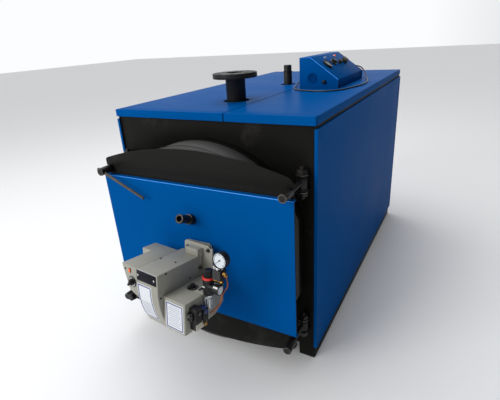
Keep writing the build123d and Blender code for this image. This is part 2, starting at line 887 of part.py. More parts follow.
# Eye bolts: the right pair carries the door, the left pair stays on the boiler
eye_bolt_sets = {
    "eye_bolts_left": (-closing_x, door_plate_front - loose_bolt_grip),
    "eye_bolts_right": (closing_x, door_plate_front - nut_bore_depth + bolt_tip_gap),
}
for name, (corner_x, tip_y) in eye_bolt_sets.items():
    with BuildPart() as eye_bolts:
        for corner_z in corner_heights:
            with BuildSketch(Plane.XY.offset(corner_z - eye_drop)):
                with Locations((corner_x, stud_y)):
                    Circle(eye_radius)
            extrude(amount=eye_drop + eye_rise)
            with BuildSketch(Plane.XZ.offset(-stud_y)):
                with Locations((corner_x, corner_z)):
                    Circle(bolt_radius)
            extrude(amount=stud_y - tip_y)
            with BuildSketch(Plane.XY.offset(corner_z - eye_drop)):
                with Locations((corner_x, stud_y)):
                    Circle(stud_radius + running_clearance)
            extrude(amount=eye_drop + eye_rise, mode=Mode.SUBTRACT)
    save(eye_bolts, name)

# Door shell: a short drum with straight flanks
with BuildPart() as door_shell:
    with BuildSketch(Plane.XZ.offset(-shell_back)):
        with BuildSketch(mode=Mode.PRIVATE) as shell_outer:
            clipped_disc(collar_radius, collar_half_width)
        with BuildSketch(mode=Mode.PRIVATE) as shell_inner:
            clipped_disc(collar_radius - collar_wall, collar_half_width - collar_wall)
        with Locations((0, drum_center_z)):
            add(shell_outer.sketch)
            add(shell_inner.sketch, mode=Mode.SUBTRACT)
    extrude(amount=door_shell_depth)
save(door_shell, "door_shell")

# Refractory lining inside the shell, pierced for the blast tube and the sight tube
lining_inset = collar_wall + lining_side_gap
with BuildPart() as lining:
    with BuildSketch(Plane.XZ.offset(-shell_back + lining_back_gap)):
        with BuildSketch(mode=Mode.PRIVATE) as lining_outline:
            clipped_disc(collar_radius - lining_inset, collar_half_width - lining_inset)
        with Locations((0, drum_center_z)):
            add(lining_outline.sketch)
        with Locations((burner_flange_x, burner_axis_z)):
            Circle(blast_tube_radius + blast_tube_gap, mode=Mode.SUBTRACT)
        with Locations((sight_x, sight_z)):
            Circle(sight_radius + sight_hole_gap, mode=Mode.SUBTRACT)
    extrude(amount=door_shell_depth - lining_back_gap)
save(lining, "door_lining")

# Door plate: straight flanks, arched top and bottom, slots for the four closing bolts
arc_center = door_plate_arc_radius - door_plate_half_height
arc_side = sqrt(door_plate_arc_radius**2 - door_plate_half_width**2) - arc_center
door_plate_left = door_plate_shift - door_plate_half_width
door_plate_right = door_plate_shift + door_plate_half_width
with BuildPart() as door_plate:
    with BuildSketch(Plane.XZ.offset(-door_plate_back)) as plate_sketch:
        with Locations((0, drum_center_z)):
            with BuildLine():
                top = ThreePointArc(
                    (door_plate_left, drum_center_z + arc_side),
                    (door_plate_shift, drum_center_z + door_plate_half_height),
                    (door_plate_right, drum_center_z + arc_side),
                )
                bottom = ThreePointArc(
                    (door_plate_right, drum_center_z - arc_side),
                    (door_plate_shift, drum_center_z - door_plate_half_height),
                    (door_plate_left, drum_center_z - arc_side),
                )
                Line(top @ 1, bottom @ 0)
                Line(bottom @ 1, top @ 0)
            make_face()
        fillet(plate_sketch.vertices().group_by(Axis.X)[-1], door_plate_right_corner)
        fillet(plate_sketch.vertices().group_by(Axis.X)[0], door_plate_left_corner)
        with Locations((burner_flange_x, burner_axis_z)):
            Circle(blast_tube_radius + blast_tube_gap, mode=Mode.SUBTRACT)
        with Locations((sight_x, sight_z)):
            Circle(sight_radius + sight_hole_gap, mode=Mode.SUBTRACT)
        for corner_x in (-closing_x, closing_x):
            outward = 1 if corner_x > 0 else -1
            for corner_z in corner_heights:
                with Locations((corner_x, corner_z)):
                    Circle(slot_half_height, mode=Mode.SUBTRACT)
                with Locations((corner_x + outward * closing_nut_radius, corner_z)):
                    Rectangle(2 * closing_nut_radius, 2 * slot_half_height, mode=Mode.SUBTRACT)
    extrude(amount=door_plate_thickness)
save(door_plate, "door_plate")

# Blue cover on the door plate: a channel, open at its left and right ends
with BuildPart() as cover:
    with BuildSketch(Plane.XZ.offset(-door_plate_front)):
        with Locations((0, (cover_bottom + cover_top) / 2)):
            Rectangle(2 * cover_half_width, cover_top - cover_bottom)
        with Locations((burner_flange_x, burner_axis_z)):
            Circle(blast_tube_radius + blast_tube_gap, mode=Mode.SUBTRACT)
        with Locations((sight_x, sight_z)):
            Circle(sight_radius + sight_hole_gap, mode=Mode.SUBTRACT)
    extrude(amount=cover_depth)
    with BuildSketch(Plane.XZ.offset(-door_plate_front)):
        with Locations((0, (cover_bottom + cover_top) / 2)):
            Rectangle(
                2 * (cover_half_width + cover_sheet),
                cover_top - cover_bottom - 2 * cover_sheet,
            )
    extrude(amount=cover_depth - cover_sheet, mode=Mode.SUBTRACT)
save(cover, "door_cover")

# Closing nuts: long round nuts with a cross hole for the tommy bar
bar_y = closing_nut_end + cross_hole_from_end
nut_names = {
    "closing_nut_upper_left": (-closing_x, closing_upper_z),
    "closing_nut_lower_left": (-closing_x, closing_lower_z),
    "closing_nut_upper_right": (closing_x, closing_upper_z),
    "closing_nut_lower_right": (closing_x, closing_lower_z),
}
for name, (nut_x, nut_z) in nut_names.items():
    slack = loose_nut_clearance if nut_x < 0 else running_clearance
    bar_plane = Plane(
        origin=(nut_x, bar_y, nut_z),
        x_dir=(0, 1, 0),
        z_dir=(cos(radians(tommy_bar_angle)), 0, sin(radians(tommy_bar_angle))),
    )
    with BuildPart() as closing_nut:
        with BuildSketch(Plane.XZ.offset(-door_plate_front)):
            with Locations((nut_x, nut_z)):
                Circle(closing_nut_radius)
        extrude(amount=closing_nut_length)
        chamfer(closing_nut.faces().sort_by(Axis.Y)[0].edges(), closing_nut_chamfer)
        with BuildSketch(Plane.XZ.offset(-door_plate_front)):
            with Locations((nut_x, nut_z)):
                Circle(bolt_radius + slack)
        extrude(amount=nut_bore_depth, mode=Mode.SUBTRACT)
        with BuildSketch(bar_plane):
            Circle(cross_hole_radius)
        extrude(amount=2 * closing_nut_radius, both=True, mode=Mode.SUBTRACT)
    save(closing_nut, name)

# Tommy bar, left in the upper left nut
with BuildPart() as tommy_bar:
    with BuildSketch(
        Plane(
            origin=(-closing_x, bar_y, closing_upper_z),
            x_dir=(0, 1, 0),
            z_dir=(cos(radians(tommy_bar_angle)), 0, sin(radians(tommy_bar_angle))),
        ).offset(-tommy_bar_stub)
    ):
        Circle(tommy_bar_radius)
    extrude(amount=tommy_bar_length)
save(tommy_bar, "tommy_bar")

# Sight tube: straight through the door, then tilted up, with a socket at its root and a ring at its mouth
sight_up = (0, -cos(radians(sight_tilt)), sin(radians(sight_tilt)))
sight_mouth = Plane((sight_x, cover_front, sight_z), x_dir=(1, 0, 0), z_dir=sight_up)
sight_plane = Plane.XZ.offset(-shell_back + lining_back_gap)
sight_through = shell_back - lining_back_gap - cover_front
sight_mitre = sight_bore * tan(radians(sight_tilt))
with BuildPart() as sight_tube:
    with BuildSketch(sight_mouth):
        Circle(sight_radius)
    extrude(amount=sight_reach)
    with BuildSketch(sight_mouth.offset(-sight_socket_radius)):
        Circle(sight_socket_radius)
    extrude(amount=sight_socket_radius + sight_socket_length)
    with BuildSketch(sight_mouth.offset(sight_reach)):
        Circle(sight_ring_radius)
    extrude(amount=-sight_ring_length)
    with BuildSketch(Plane.XZ.offset(-cover_front)):
        with Locations((sight_x, sight_z)):
            Circle(3 * sight_socket_radius)
    extrude(amount=-3 * sight_socket_radius, mode=Mode.SUBTRACT)
    with BuildSketch(sight_plane):
        with Locations((sight_x, sight_z)):
            Circle(sight_radius)
    extrude(amount=sight_through)
    with BuildSketch(sight_plane):
        with Locations((sight_x, sight_z)):
            Circle(sight_bore)
    extrude(amount=sight_through + sight_mitre, mode=Mode.SUBTRACT)
    with BuildSketch(sight_mouth.offset(-sight_mitre)):
        Circle(sight_bore)
    extrude(amount=sight_mitre + sight_reach, mode=Mode.SUBTRACT)
save(sight_tube, "sight_tube")

# The housing's own frame: origin at its front top right corner, leaning with the burner
pitch = radians(burner_pitch)
yaw = radians(burner_yaw)
housing_right = Vector(cos(yaw), -sin(yaw), 0)
housing_back = Vector(sin(yaw) * cos(pitch), cos(yaw) * cos(pitch), -sin(pitch))
housing_up = Vector(sin(yaw) * sin(pitch), cos(yaw) * sin(pitch), cos(pitch))
housing_corner = Vector(housing_corner_x, cover_front - housing_corner_from_cover, housing_corner_z)


def housing_point(right, back, up):
    """Gives the place of a point of the housing's own frame."""
    return housing_corner + housing_right * right + housing_back * back + housing_up * up


def seen_from_front(right, back, up):
    """A plane that faces the user: its X runs right and its Y up."""
    return Plane(housing_point(right, back, up), x_dir=housing_right, z_dir=-housing_back)


def seen_from_right(right, back, up):
    """A plane that faces right: its X runs back and its Y up."""
    return Plane(housing_point(right, back, up), x_dir=housing_back, z_dir=housing_right)


def seen_from_above(right, back, up):
    """A plane that faces up: its X runs right and its Y back."""
    return Plane(housing_point(right, back, up), x_dir=housing_right, z_dir=housing_up)


# Housing: straight front under the top edge, then a belly that curves back
with BuildPart() as housing:
    with BuildSketch(seen_from_right(0, 0, 0)):
        with BuildLine():
            front_line = Line((0, 0), (0, -housing_front_drop))
            belly_middle = (belly_back, -belly_drop)
            belly_end = (belly_bottom_back, -housing_height)
            belly = ThreePointArc(front_line @ 1, belly_middle, belly_end)
            floor_line = Line(belly @ 1, (heel_start, -housing_height))
            heel_middle = (heel_back, -heel_drop)
            heel = ThreePointArc(floor_line @ 1, heel_middle, (housing_length, -heel_end_drop))
            back_line = Line(heel @ 1, (housing_length, 0))
            Line(back_line @ 1, front_line @ 0)
        make_face()
    extrude(amount=-housing_width)
save(housing, "burner_housing")

# Burner flange on the cover, its blast tube through the door and its leaning neck
with BuildPart() as burner_flange:
    with BuildSketch(seen_from_front(neck_right, housing_length + rear_plate_thickness, -neck_drop)):
        Circle(blast_tube_radius)
    extrude(amount=-neck_length)
    with BuildSketch(Plane.XZ.offset(-cover_front)):
        with Locations((burner_flange_x, burner_axis_z)):
            Circle(2 * burner_flange_width)
    extrude(amount=-neck_length, mode=Mode.SUBTRACT)
    with BuildSketch(Plane.XZ.offset(-cover_front)):
        with Locations((burner_flange_x, (burner_flange_bottom + burner_flange_top) / 2)):
            RectangleRounded(
                burner_flange_width,
                burner_flange_top - burner_flange_bottom,
                burner_flange_corner,
            )
    extrude(amount=burner_flange_thickness)
    with BuildSketch(Plane.XZ.offset(-cover_front)):
        with Locations((burner_flange_x, burner_axis_z)):
            Circle(blast_tube_radius)
            Circle(blast_tube_radius - blast_tube_wall, mode=Mode.SUBTRACT)
    extrude(amount=cover_front - shell_back - blast_tube_reach)
save(burner_flange, "burner_flange")

# Rear plate of the housing: its ears stand above the housing, with a stiffening channel between
with BuildPart() as rear_plate:
    with BuildSketch(seen_from_front(neck_right + rear_plate_shift, housing_length, 0)) as outline:
        with Locations((0, (rear_plate_top + rear_plate_bottom) / 2)):
            Rectangle(rear_plate_width, rear_plate_top - rear_plate_bottom)
        chamfer(outline.vertices().group_by(Axis.Y)[-1], rear_plate_corner)
    extrude(amount=-rear_plate_thickness)
    with BuildSketch(seen_from_front(0, housing_length, 0)):
        with Locations((side_ear_right / 2, (side_ear_top - side_ear_drop) / 2)):
            Rectangle(side_ear_right, side_ear_top + side_ear_drop)
    extrude(amount=-rear_plate_thickness)
    with BuildSketch(seen_from_front(neck_right + rear_plate_shift, housing_length, 0)):
        with Locations((0, rear_channel_height / 2 + weld_gap)):
            Rectangle(rear_channel_width, rear_channel_height)
    extrude(amount=rear_channel_depth)
save(rear_plate, "burner_rear_plate")

# Control section on the housing's left, with the air duct that sticks out behind it
with BuildPart() as control_section:
    with BuildSketch(seen_from_front(-housing_width, 0, 0)):
        with BuildLine():
            Polyline(
                (0, 0),
                (-control_section_width, 0),
                (-control_section_width + control_section_taper, -control_section_height),
                (0, -control_section_height - control_section_slant),
                close=True,
            )
        make_face()
    extrude(amount=-control_section_length)
    with BuildSketch(seen_from_above(-housing_width, control_section_length, 0)):
        with Locations((-duct_length / 2, duct_depth / 2)):
            Rectangle(duct_length, duct_depth)
    extrude(amount=-duct_height)
save(control_section, "burner_control_section")

# Knob on the control section
knob_right = -housing_width - burner_knob_from_housing
with BuildPart() as burner_knob:
    with BuildSketch(seen_from_front(knob_right, -weld_gap, -burner_knob_drop)):
        Circle(burner_knob_plate_radius)
    extrude(amount=burner_knob_plate_depth)
    with BuildSketch(seen_from_front(knob_right, -weld_gap, -burner_knob_drop)):
        Circle(burner_knob_radius)
    extrude(amount=burner_knob_depth)
save(burner_knob, "burner_knob")

# Air adjuster: a black grip under the control section
with BuildPart() as adjuster:
    adjuster_right = -housing_width - adjuster_from_housing
    with BuildSketch(seen_from_front(adjuster_right, adjuster_back, -adjuster_drop)):
        Circle(adjuster_radius)
    extrude(amount=adjuster_length)
    with BuildSketch(seen_from_right(-housing_width, adjuster_arm_back, -adjuster_drop)):
        Circle(adjuster_arm_radius)
    extrude(amount=-adjuster_from_housing)
save(adjuster, "burner_air_adjuster")

# Lower box on the housing's right
with BuildPart() as lower_box:
    with BuildSketch(seen_from_right(0, 0, 0)):
        with BuildLine():
            Polyline(
                (lower_box_setback, -lower_box_drop),
                (housing_length, -lower_box_drop),
                (housing_length, -heel_end_drop),
                (lower_box_slant_back, -lower_box_slant_drop),
                (lower_box_bottom_back, -lower_box_drop - lower_box_height),
                (lower_box_setback, -lower_box_drop - lower_box_height),
                close=True,
            )
        make_face()
    extrude(amount=lower_box_width)
save(lower_box, "burner_lower_box")

# Dial on top of the lower box
with BuildPart() as dial:
    dial_plane = seen_from_above(dial_right, dial_back, -lower_box_drop + weld_gap)
    with BuildSketch(dial_plane):
        Circle(dial_radius)
    extrude(amount=dial_thickness)
    with BuildSketch(dial_plane):
        Circle(dial_grip_radius)
    extrude(amount=dial_grip_height)
save(dial, "burner_dial")

# Filter regulator beside the lower box: body, red ring, knob, a gauge stem, and a foot on the box
regulator_axis = seen_from_above(regulator_right, regulator_back, regulator_up)
regulator_knob_bottom = regulator_ring_height
body_bottom = regulator_up - regulator_body_height
foot_right = regulator_right - lower_box_width
side_gauge_up = regulator_up - side_gauge_drop
side_gauge_back = regulator_back - side_gauge_forward
with BuildPart() as regulator:
    with BuildSketch(regulator_axis):
        Circle(regulator_body_radius)
    extrude(amount=-regulator_body_height)
    with BuildSketch(regulator_axis):
        Circle(regulator_ring_radius)
    extrude(amount=regulator_ring_height)
    with BuildSketch(regulator_axis.offset(regulator_knob_bottom)):
        Circle(regulator_knob_radius)
    extrude(amount=regulator_knob_height)
    with BuildSketch(seen_from_above(lower_box_width, regulator_back, body_bottom)):
        with Locations(((foot_right - regulator_foot_reach) / 2, 0)):
            Rectangle(foot_right + regulator_foot_reach, regulator_foot_width)
    extrude(amount=regulator_foot_thickness)
    with BuildSketch(seen_from_above(lower_box_width, regulator_back, body_bottom)):
        with Locations((-regulator_foot_reach / 2, 0)):
            Rectangle(regulator_foot_reach, regulator_foot_width)
    extrude(amount=-lower_box_drop - body_bottom)
    with BuildSketch(seen_from_right(regulator_right, side_gauge_back, side_gauge_up)):
        Circle(side_gauge_stem)
    extrude(amount=side_gauge_reach)
save(regulator, "air_regulator")

# Clear bowl under the regulator's body
with BuildPart() as bowl:
    with BuildSketch(regulator_axis.offset(-regulator_body_height)):
        Circle(regulator_bowl_radius)
    extrude(amount=-regulator_bowl_height)
save(bowl, "regulator_bowl")

# Valve block on an elbow out of the regulator's body
elbow_up = regulator_up - valve_stem_drop
elbow_back = regulator_back + valve_stem_setback
with BuildPart() as valve_block:
    with BuildSketch(seen_from_above(valve_right, regulator_back, valve_up)):
        Rectangle(valve_width, valve_width)
    extrude(amount=-valve_height)
    with BuildSketch(seen_from_above(valve_right, elbow_back, valve_up - valve_height / 2)):
        Circle(valve_stem)
    extrude(amount=elbow_up - valve_up + valve_height / 2 - valve_stem)
    with BuildSketch(seen_from_right(regulator_right, elbow_back, elbow_up)):
        Circle(elbow_radius)
    extrude(amount=valve_right - regulator_right)
    with BuildSketch(regulator_axis):
        Circle(regulator_body_radius + weld_gap)
    extrude(amount=-regulator_body_height, mode=Mode.SUBTRACT)
save(valve_block, "valve_block")

# Pressure gauges: one on a stem over the valve block, and a small one on the regulator's side
gauge_up = valve_up + gauge_stem_height + pressure_gauge_radius
gauge_front = regulator_back - pressure_gauge_depth / 2
with BuildPart() as gauges:
    with BuildSketch(seen_from_above(gauge_right, regulator_back, valve_up)):
        Circle(gauge_stem_radius)
    extrude(amount=gauge_up - valve_up)
    with BuildSketch(seen_from_front(gauge_right, gauge_front, gauge_up)):
        Circle(pressure_gauge_radius)
    extrude(amount=-pressure_gauge_depth)
    side_gauge_foot = regulator_right + side_gauge_reach
    with BuildSketch(seen_from_right(side_gauge_foot, side_gauge_back, side_gauge_up)):
        Circle(side_gauge_radius)
    extrude(amount=side_gauge_depth)
save(gauges, "pressure_gauges")

# Solenoid valves on the lower box's right side: two coils on a brass-coloured base
coil_places = (
    (coil_back, coil_up, coil_width, coil_height, coil_reach),
    (coil_back + coil_spacing, coil_up - coil_step, small_coil_width, small_coil_height, small_coil_reach),
    (coil_back + coil_spacing / 2, coil_base_up, coil_base_width, coil_base_height, coil_base_reach),
)
with BuildPart() as solenoids:
    for back, up, width, height, reach in coil_places:
        with BuildSketch(seen_from_right(lower_box_width, back, up)):
            Rectangle(width, height)
        extrude(amount=reach)
save(solenoids, "solenoid_valves")
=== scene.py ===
"""Looks of a floor-standing hot-water boiler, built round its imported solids."""

import json
from math import cos, pi, radians, sin

import bmesh
import bpy
from mathutils import Matrix, Vector, noise

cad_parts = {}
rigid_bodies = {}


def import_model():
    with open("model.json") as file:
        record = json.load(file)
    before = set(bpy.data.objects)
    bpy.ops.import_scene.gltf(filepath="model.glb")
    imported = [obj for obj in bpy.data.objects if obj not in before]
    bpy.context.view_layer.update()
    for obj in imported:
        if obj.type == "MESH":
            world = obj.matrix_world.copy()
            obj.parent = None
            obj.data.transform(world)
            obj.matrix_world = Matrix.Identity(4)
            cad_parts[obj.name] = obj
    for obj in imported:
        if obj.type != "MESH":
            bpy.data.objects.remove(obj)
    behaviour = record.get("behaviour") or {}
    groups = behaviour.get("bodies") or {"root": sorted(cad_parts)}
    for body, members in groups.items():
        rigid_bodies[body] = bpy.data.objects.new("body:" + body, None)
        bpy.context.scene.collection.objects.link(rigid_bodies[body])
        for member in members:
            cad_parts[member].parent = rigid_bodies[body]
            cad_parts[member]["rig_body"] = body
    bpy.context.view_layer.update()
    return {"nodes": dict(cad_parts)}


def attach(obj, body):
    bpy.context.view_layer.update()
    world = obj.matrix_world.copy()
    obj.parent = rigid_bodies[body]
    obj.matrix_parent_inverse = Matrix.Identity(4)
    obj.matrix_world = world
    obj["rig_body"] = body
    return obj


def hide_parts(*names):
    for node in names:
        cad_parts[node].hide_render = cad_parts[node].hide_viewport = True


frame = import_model()

# Studio: a pale floor, a large soft light from the front left, and a weak one from above. The sky
# is dimmer toward the right. The camera stands right of the door at chest height.
# Places and boxes are in metres, and the sizes of the shapes that are added are in millimetres.
MM = 0.001
RIGHT, BACK, FRONT, UP = (1, 0, 0), (0, 1, 0), (0, -1, 0), (0, 0, 1)
scene = bpy.context.scene


def shader_node(tree, kind, values=(), **settings):
    """Adds a node; values maps a socket's name or number to a number or to another node's output."""
    made = tree.nodes.new(kind)
    for key, value in settings.items():
        setattr(made, key, value)
    for key, value in dict(values).items():
        if isinstance(value, bpy.types.NodeSocket):
            tree.links.new(value, made.inputs[key])
        else:
            made.inputs[key].default_value = value
    return made


def area_light(name, place, target, size, power):
    """A square soft light that looks at a target."""
    light = bpy.data.lights.new(name, "AREA")
    light.shape = "SQUARE"
    light.size = size
    light.energy = power
    lamp = bpy.data.objects.new(name, light)
    lamp.location = place
    lamp.rotation_mode = "QUATERNION"
    lamp.rotation_quaternion = (Vector(target) - Vector(place)).to_track_quat("-Z", "Y")
    scene.collection.objects.link(lamp)


area_light("key_light", (-2.6, -5.4, 3.2), (0, -0.4, 0.6), 3.0, 175)
area_light("top_light", (-1.2, 0.6, 4.4), (0, 0.1, 0.9), 3.0, 60)
scene.view_settings.view_transform = "Standard"
world = bpy.data.worlds.new("studio")
scene.world = world
world.use_nodes = True
backdrop = world.node_tree.nodes["Background"]
toward = shader_node(world.node_tree, "ShaderNodeTexCoord").outputs["Generated"]
sideways = shader_node(world.node_tree, "ShaderNodeSeparateXYZ", {0: toward}).outputs["X"]
dimmer = shader_node(world.node_tree, "ShaderNodeMapRange", {
    "Value": sideways, "From Min": -0.1, "From Max": 0.7, "To Min": 1.0, "To Max": 0.12,
}).outputs[0]
backdrop.inputs["Color"].default_value = (0.97, 0.98, 1.0, 1)
world.node_tree.links.new(dimmer, backdrop.inputs["Strength"])

floor_mesh = bpy.data.meshes.new("floor")
floor_mesh.from_pydata([(-30, -30, 0), (30, -30, 0), (30, 30, 0), (-30, 30, 0)], [], [(0, 1, 2, 3)])
floor = bpy.data.objects.new("floor", floor_mesh)
scene.collection.objects.link(floor)
floor_finish = bpy.data.materials.new("pale_floor")
floor_finish.use_nodes = True
floor_shader = floor_finish.node_tree.nodes["Principled BSDF"]
floor_shader.inputs["Base Color"].default_value = (0.86, 0.86, 0.86, 1)
floor_shader.inputs["Roughness"].default_value = 0.9
floor_mesh.materials.append(floor_finish)

camera_data = bpy.data.cameras.new("camera")
camera_data.sensor_width = 36
camera_data.lens = 28.0
camera_data.clip_end = 100
camera = bpy.data.objects.new("camera", camera_data)
scene.collection.objects.link(camera)
camera.matrix_world = Matrix((
    (0.876295, -0.135642, 0.462285, 0.925924),
    (0.478012, 0.364479, -0.799162, -2.106096),
    (-0.060093, 0.921280, 0.384230, 1.340265),
    (0, 0, 0, 1),
))
scene.camera = camera


def finish(name, colour, roughness, metallic=0.0, shade=0.8, patch=4.0, stretch=(1, 1, 1),
           grain=500.0, depth=0.02, wave=None, stain=None, spread=0.12, specular=0.5):
    """A procedural finish: patchy colour and gloss, fine grain, a slow wave and stains.

    A wave is its height and scale; a stain is its colour, its threshold and its scale.
    """
    made = bpy.data.materials.new(name)
    made.use_nodes = True
    tree = made.node_tree
    shader = tree.nodes["Principled BSDF"]
    place = shader_node(tree, "ShaderNodeTexCoord").outputs["Object"]
    place = shader_node(tree, "ShaderNodeMapping", {"Vector": place, "Scale": stretch}).outputs[0]

    def noise_of(scale, detail, **more):
        values = {"Vector": place, "Scale": scale, "Detail": detail, **more}
        return shader_node(tree, "ShaderNodeTexNoise", values).outputs["Fac"]

    def mix_of(share, first, second):
        values = {0: share, 6: first, 7: second}
        return shader_node(tree, "ShaderNodeMix", values, data_type="RGBA").outputs[2]

    patches = noise_of(patch, 6.0, Roughness=0.6)
    dark = tuple(channel * shade for channel in colour)
    light = tuple(min(1, channel * (2 - shade)) for channel in colour)
    mixed = mix_of(patches, (*dark, 1), (*light, 1))
    if stain:
        stain_colour, threshold, stain_scale = stain
        ramp = shader_node(tree, "ShaderNodeMapRange", {
            "Value": noise_of(stain_scale, 9.0, Roughness=0.72),
            "From Min": threshold, "From Max": threshold + 0.12,
        }).outputs[0]
        mixed = mix_of(ramp, mixed, (*stain_colour, 1))
    tree.links.new(mixed, shader.inputs["Base Color"])
    gloss = shader_node(tree, "ShaderNodeMapRange", {
        "Value": patches, "From Min": 0.3, "From Max": 0.7,
        "To Min": max(0.02, roughness - spread / 2), "To Max": min(1.0, roughness + spread / 2),
    }).outputs[0]
    tree.links.new(gloss, shader.inputs["Roughness"])
    shader.inputs["Metallic"].default_value = metallic
    shader.inputs["Specular IOR Level"].default_value = specular
    bump = shader_node(tree, "ShaderNodeBump", {
        "Height": noise_of(grain, 3.0), "Strength": depth * 10, "Distance": 0.0002,
    })
    if wave:
        height, wave_scale = wave
        wide = shader_node(tree, "ShaderNodeBump", {
            "Height": noise_of(wave_scale, 1.0), "Strength": 1.0, "Distance": height,
        })
        tree.links.new(wide.outputs["Normal"], bump.inputs["Normal"])
    tree.links.new(bump.outputs["Normal"], shader.inputs["Normal"])
    return made


blue_coat = finish("blue_coat", (0.0, 0.072, 0.27), 0.34, shade=0.95, patch=2.2, grain=700,
                   depth=0.012, wave=(0.003, 2.2), spread=0.1, specular=0.003)
# A bright blue for thin rods along folds and edges: a painted highlight where those edges catch the light.
blue_edge_highlight = finish("blue_edge_highlight", (0.04, 0.30, 0.9), 0.35, shade=0.9, patch=20, grain=700, specular=0.3)


def show(name, bm, coat, body="front_door", crease=32):
    """Turns a bmesh into a shown piece that rides on a body."""
    mesh = bpy.data.meshes.new(name)
    bm.to_mesh(mesh)
    bm.free()
    piece = bpy.data.objects.new(name, mesh)
    scene.collection.objects.link(piece)
    mesh.materials.append(coat)
    mesh.shade_smooth()
    mesh.set_sharp_from_angle(angle=radians(crease))
    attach(piece, body)
    return piece


def built(name, coat, *shapes, body="front_door", slot="black_plastic", crease=32):
    """Shows a piece made of shapes: each is a function and what it takes after the mesh."""
    bm = bmesh.new()
    for add, *values in shapes:
        add(bm, *values)
    return show(name, bm, coat, body, crease)


def settled(piece):
    """Applies a piece's modifiers to its mesh."""
    shot = piece.evaluated_get(bpy.context.evaluated_depsgraph_get())
    piece.data = bpy.data.meshes.new_from_object(shot)
    piece.modifiers.clear()
    piece.data.shade_smooth()
    piece.data.set_sharp_from_angle(angle=radians(32))


def thickened(piece, thickness):
    """Gives a sheet its thickness, behind the side that shows."""
    thick = piece.modifiers.new("thickness", "SOLIDIFY")
    thick.thickness = thickness
    thick.offset = -1
    settled(piece)


def cut_out(piece, cutters):
    """Cuts round holes: each cutter is (centre, axis, radius, half depth)."""
    for centre, axis, radius, reach in cutters:
        bm = bmesh.new()
        bmesh.ops.create_cone(
            bm, cap_ends=True, segments=64, radius1=radius, radius2=radius, depth=2 * reach
        )
        turn = Vector(axis).to_track_quat("Z", "Y").to_matrix().to_4x4()
        bm.transform(Matrix.Translation(centre) @ turn)
        mesh = bpy.data.meshes.new("cutter")
        bm.to_mesh(mesh)
        bm.free()
        tool = bpy.data.objects.new("cutter", mesh)
        scene.collection.objects.link(tool)
        cut = piece.modifiers.new("cut", "BOOLEAN")
        cut.operation = "DIFFERENCE"
        cut.solver = "EXACT"
        cut.object = tool
        settled(piece)
        bpy.data.objects.remove(tool)


def sliced(bm, steps):
    """Slices the sheet across an axis, so that it can bend: steps is (axis, places)."""
    for axis, places in steps:
        normal = Vector((0, 0, 0))
        normal[axis] = 1
        for place in places:
            geometry = bm.verts[:] + bm.edges[:] + bm.faces[:]
            bmesh.ops.bisect_plane(
                bm, geom=geometry, plane_co=normal * place, plane_no=normal, dist=1e-6
            )


def steps_between(low, high, count):
    """Evenly spaced places inside a span."""
    return [low + (high - low) * (i + 1) / (count + 1) for i in range(count)]


def open_box(low, high, missing, fold, segments=3):
    """A box without the sides whose outward normals are in missing, its folds rounded."""
    bm = bmesh.new()
    bmesh.ops.create_cube(bm, size=1)
    for vert in bm.verts:
        vert.co = Vector([low[i] if vert.co[i] < 0 else high[i] for i in range(3)])
    gone = [f for f in bm.faces if any((f.normal - Vector(m)).length < 0.1 for m in missing)]
    bmesh.ops.delete(bm, geom=gone, context="FACES")
    folds = [e for e in bm.edges if len(e.link_faces) == 2]
    bmesh.ops.bevel(bm, geom=folds, offset=fold, segments=segments, affect="EDGES", profile=0.5)
    return bm


lid_low, lid_high, lip_low = -0.845, 0.845, 1.048
lid_top = 1.080
sheet = 0.002
supply_xy, nozzle_xy = (-0.016, -0.540), (-0.016, 0.050)
lids = {
    "lid_left": (-0.475, 0.0977, (1, 0, 0), [(supply_xy, 0.060), (nozzle_xy, 0.042)]),
    "lid_right": (0.1023, 0.475, (-1, 0, 0), []),
}
for name, (low_x, high_x, seam, holes) in lids.items():
    bm = open_box((low_x, lid_low, lip_low), (high_x, lid_high, lid_top), [seam, (0, 0, -1)], 0.0035)
    sliced(bm, [(0, steps_between(low_x, high_x, 18)), (1, steps_between(lid_low, lid_high, 26))])
    for vert in bm.verts:
        ripple = noise.noise(vert.co * 3.1) + 0.5 * noise.noise(vert.co * 8.3)
        if vert.co.z > lid_top - 0.001:
            vert.co.z -= 0.0004 * (1 + ripple)
        elif vert.co.z < lip_low + 0.001:
            vert.co.z += 0.0007 * (1 + ripple)
    piece = show(name + "_sheet", bm, blue_coat, "boiler")
    thickened(piece, sheet)
    cut_out(piece, [((x, y, lid_top), UP, radius, 0.01) for (x, y), radius in holes])
    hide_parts(name)

panel_x, panel_bottom, panel_top = 0.481, 0.065, 1.036
panel_front, panel_rear = -0.839, 0.839
flange = 0.013
tucked_x = 0.4733
for side, name in ((-1, "side_panel_left"), (1, "side_panel_right")):
    inner = side * (panel_x - flange)
    low = (min(inner, side * panel_x), panel_front, panel_bottom)
    high = (max(inner, side * panel_x), panel_rear, panel_top)
    bm = open_box(low, high, [(-side, 0, 0)], 0.0025)
    sliced(bm, [
        (1, steps_between(panel_front, panel_rear, 24)), (2, steps_between(panel_bottom, panel_top, 12)),
    ])
    for vert in bm.verts:
        if abs(abs(vert.co.x) - panel_x) < 1e-4:
            vert.co.x -= side * 0.0005 * (1 + noise.noise(vert.co * 2.6))
        if vert.co.z > panel_top - 0.001 and abs(vert.co.x) < tucked_x:
            vert.co.x = side * tucked_x
    piece = show(name + "_sheet", bm, blue_coat, "boiler")
    thickened(piece, sheet)
    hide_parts(name)

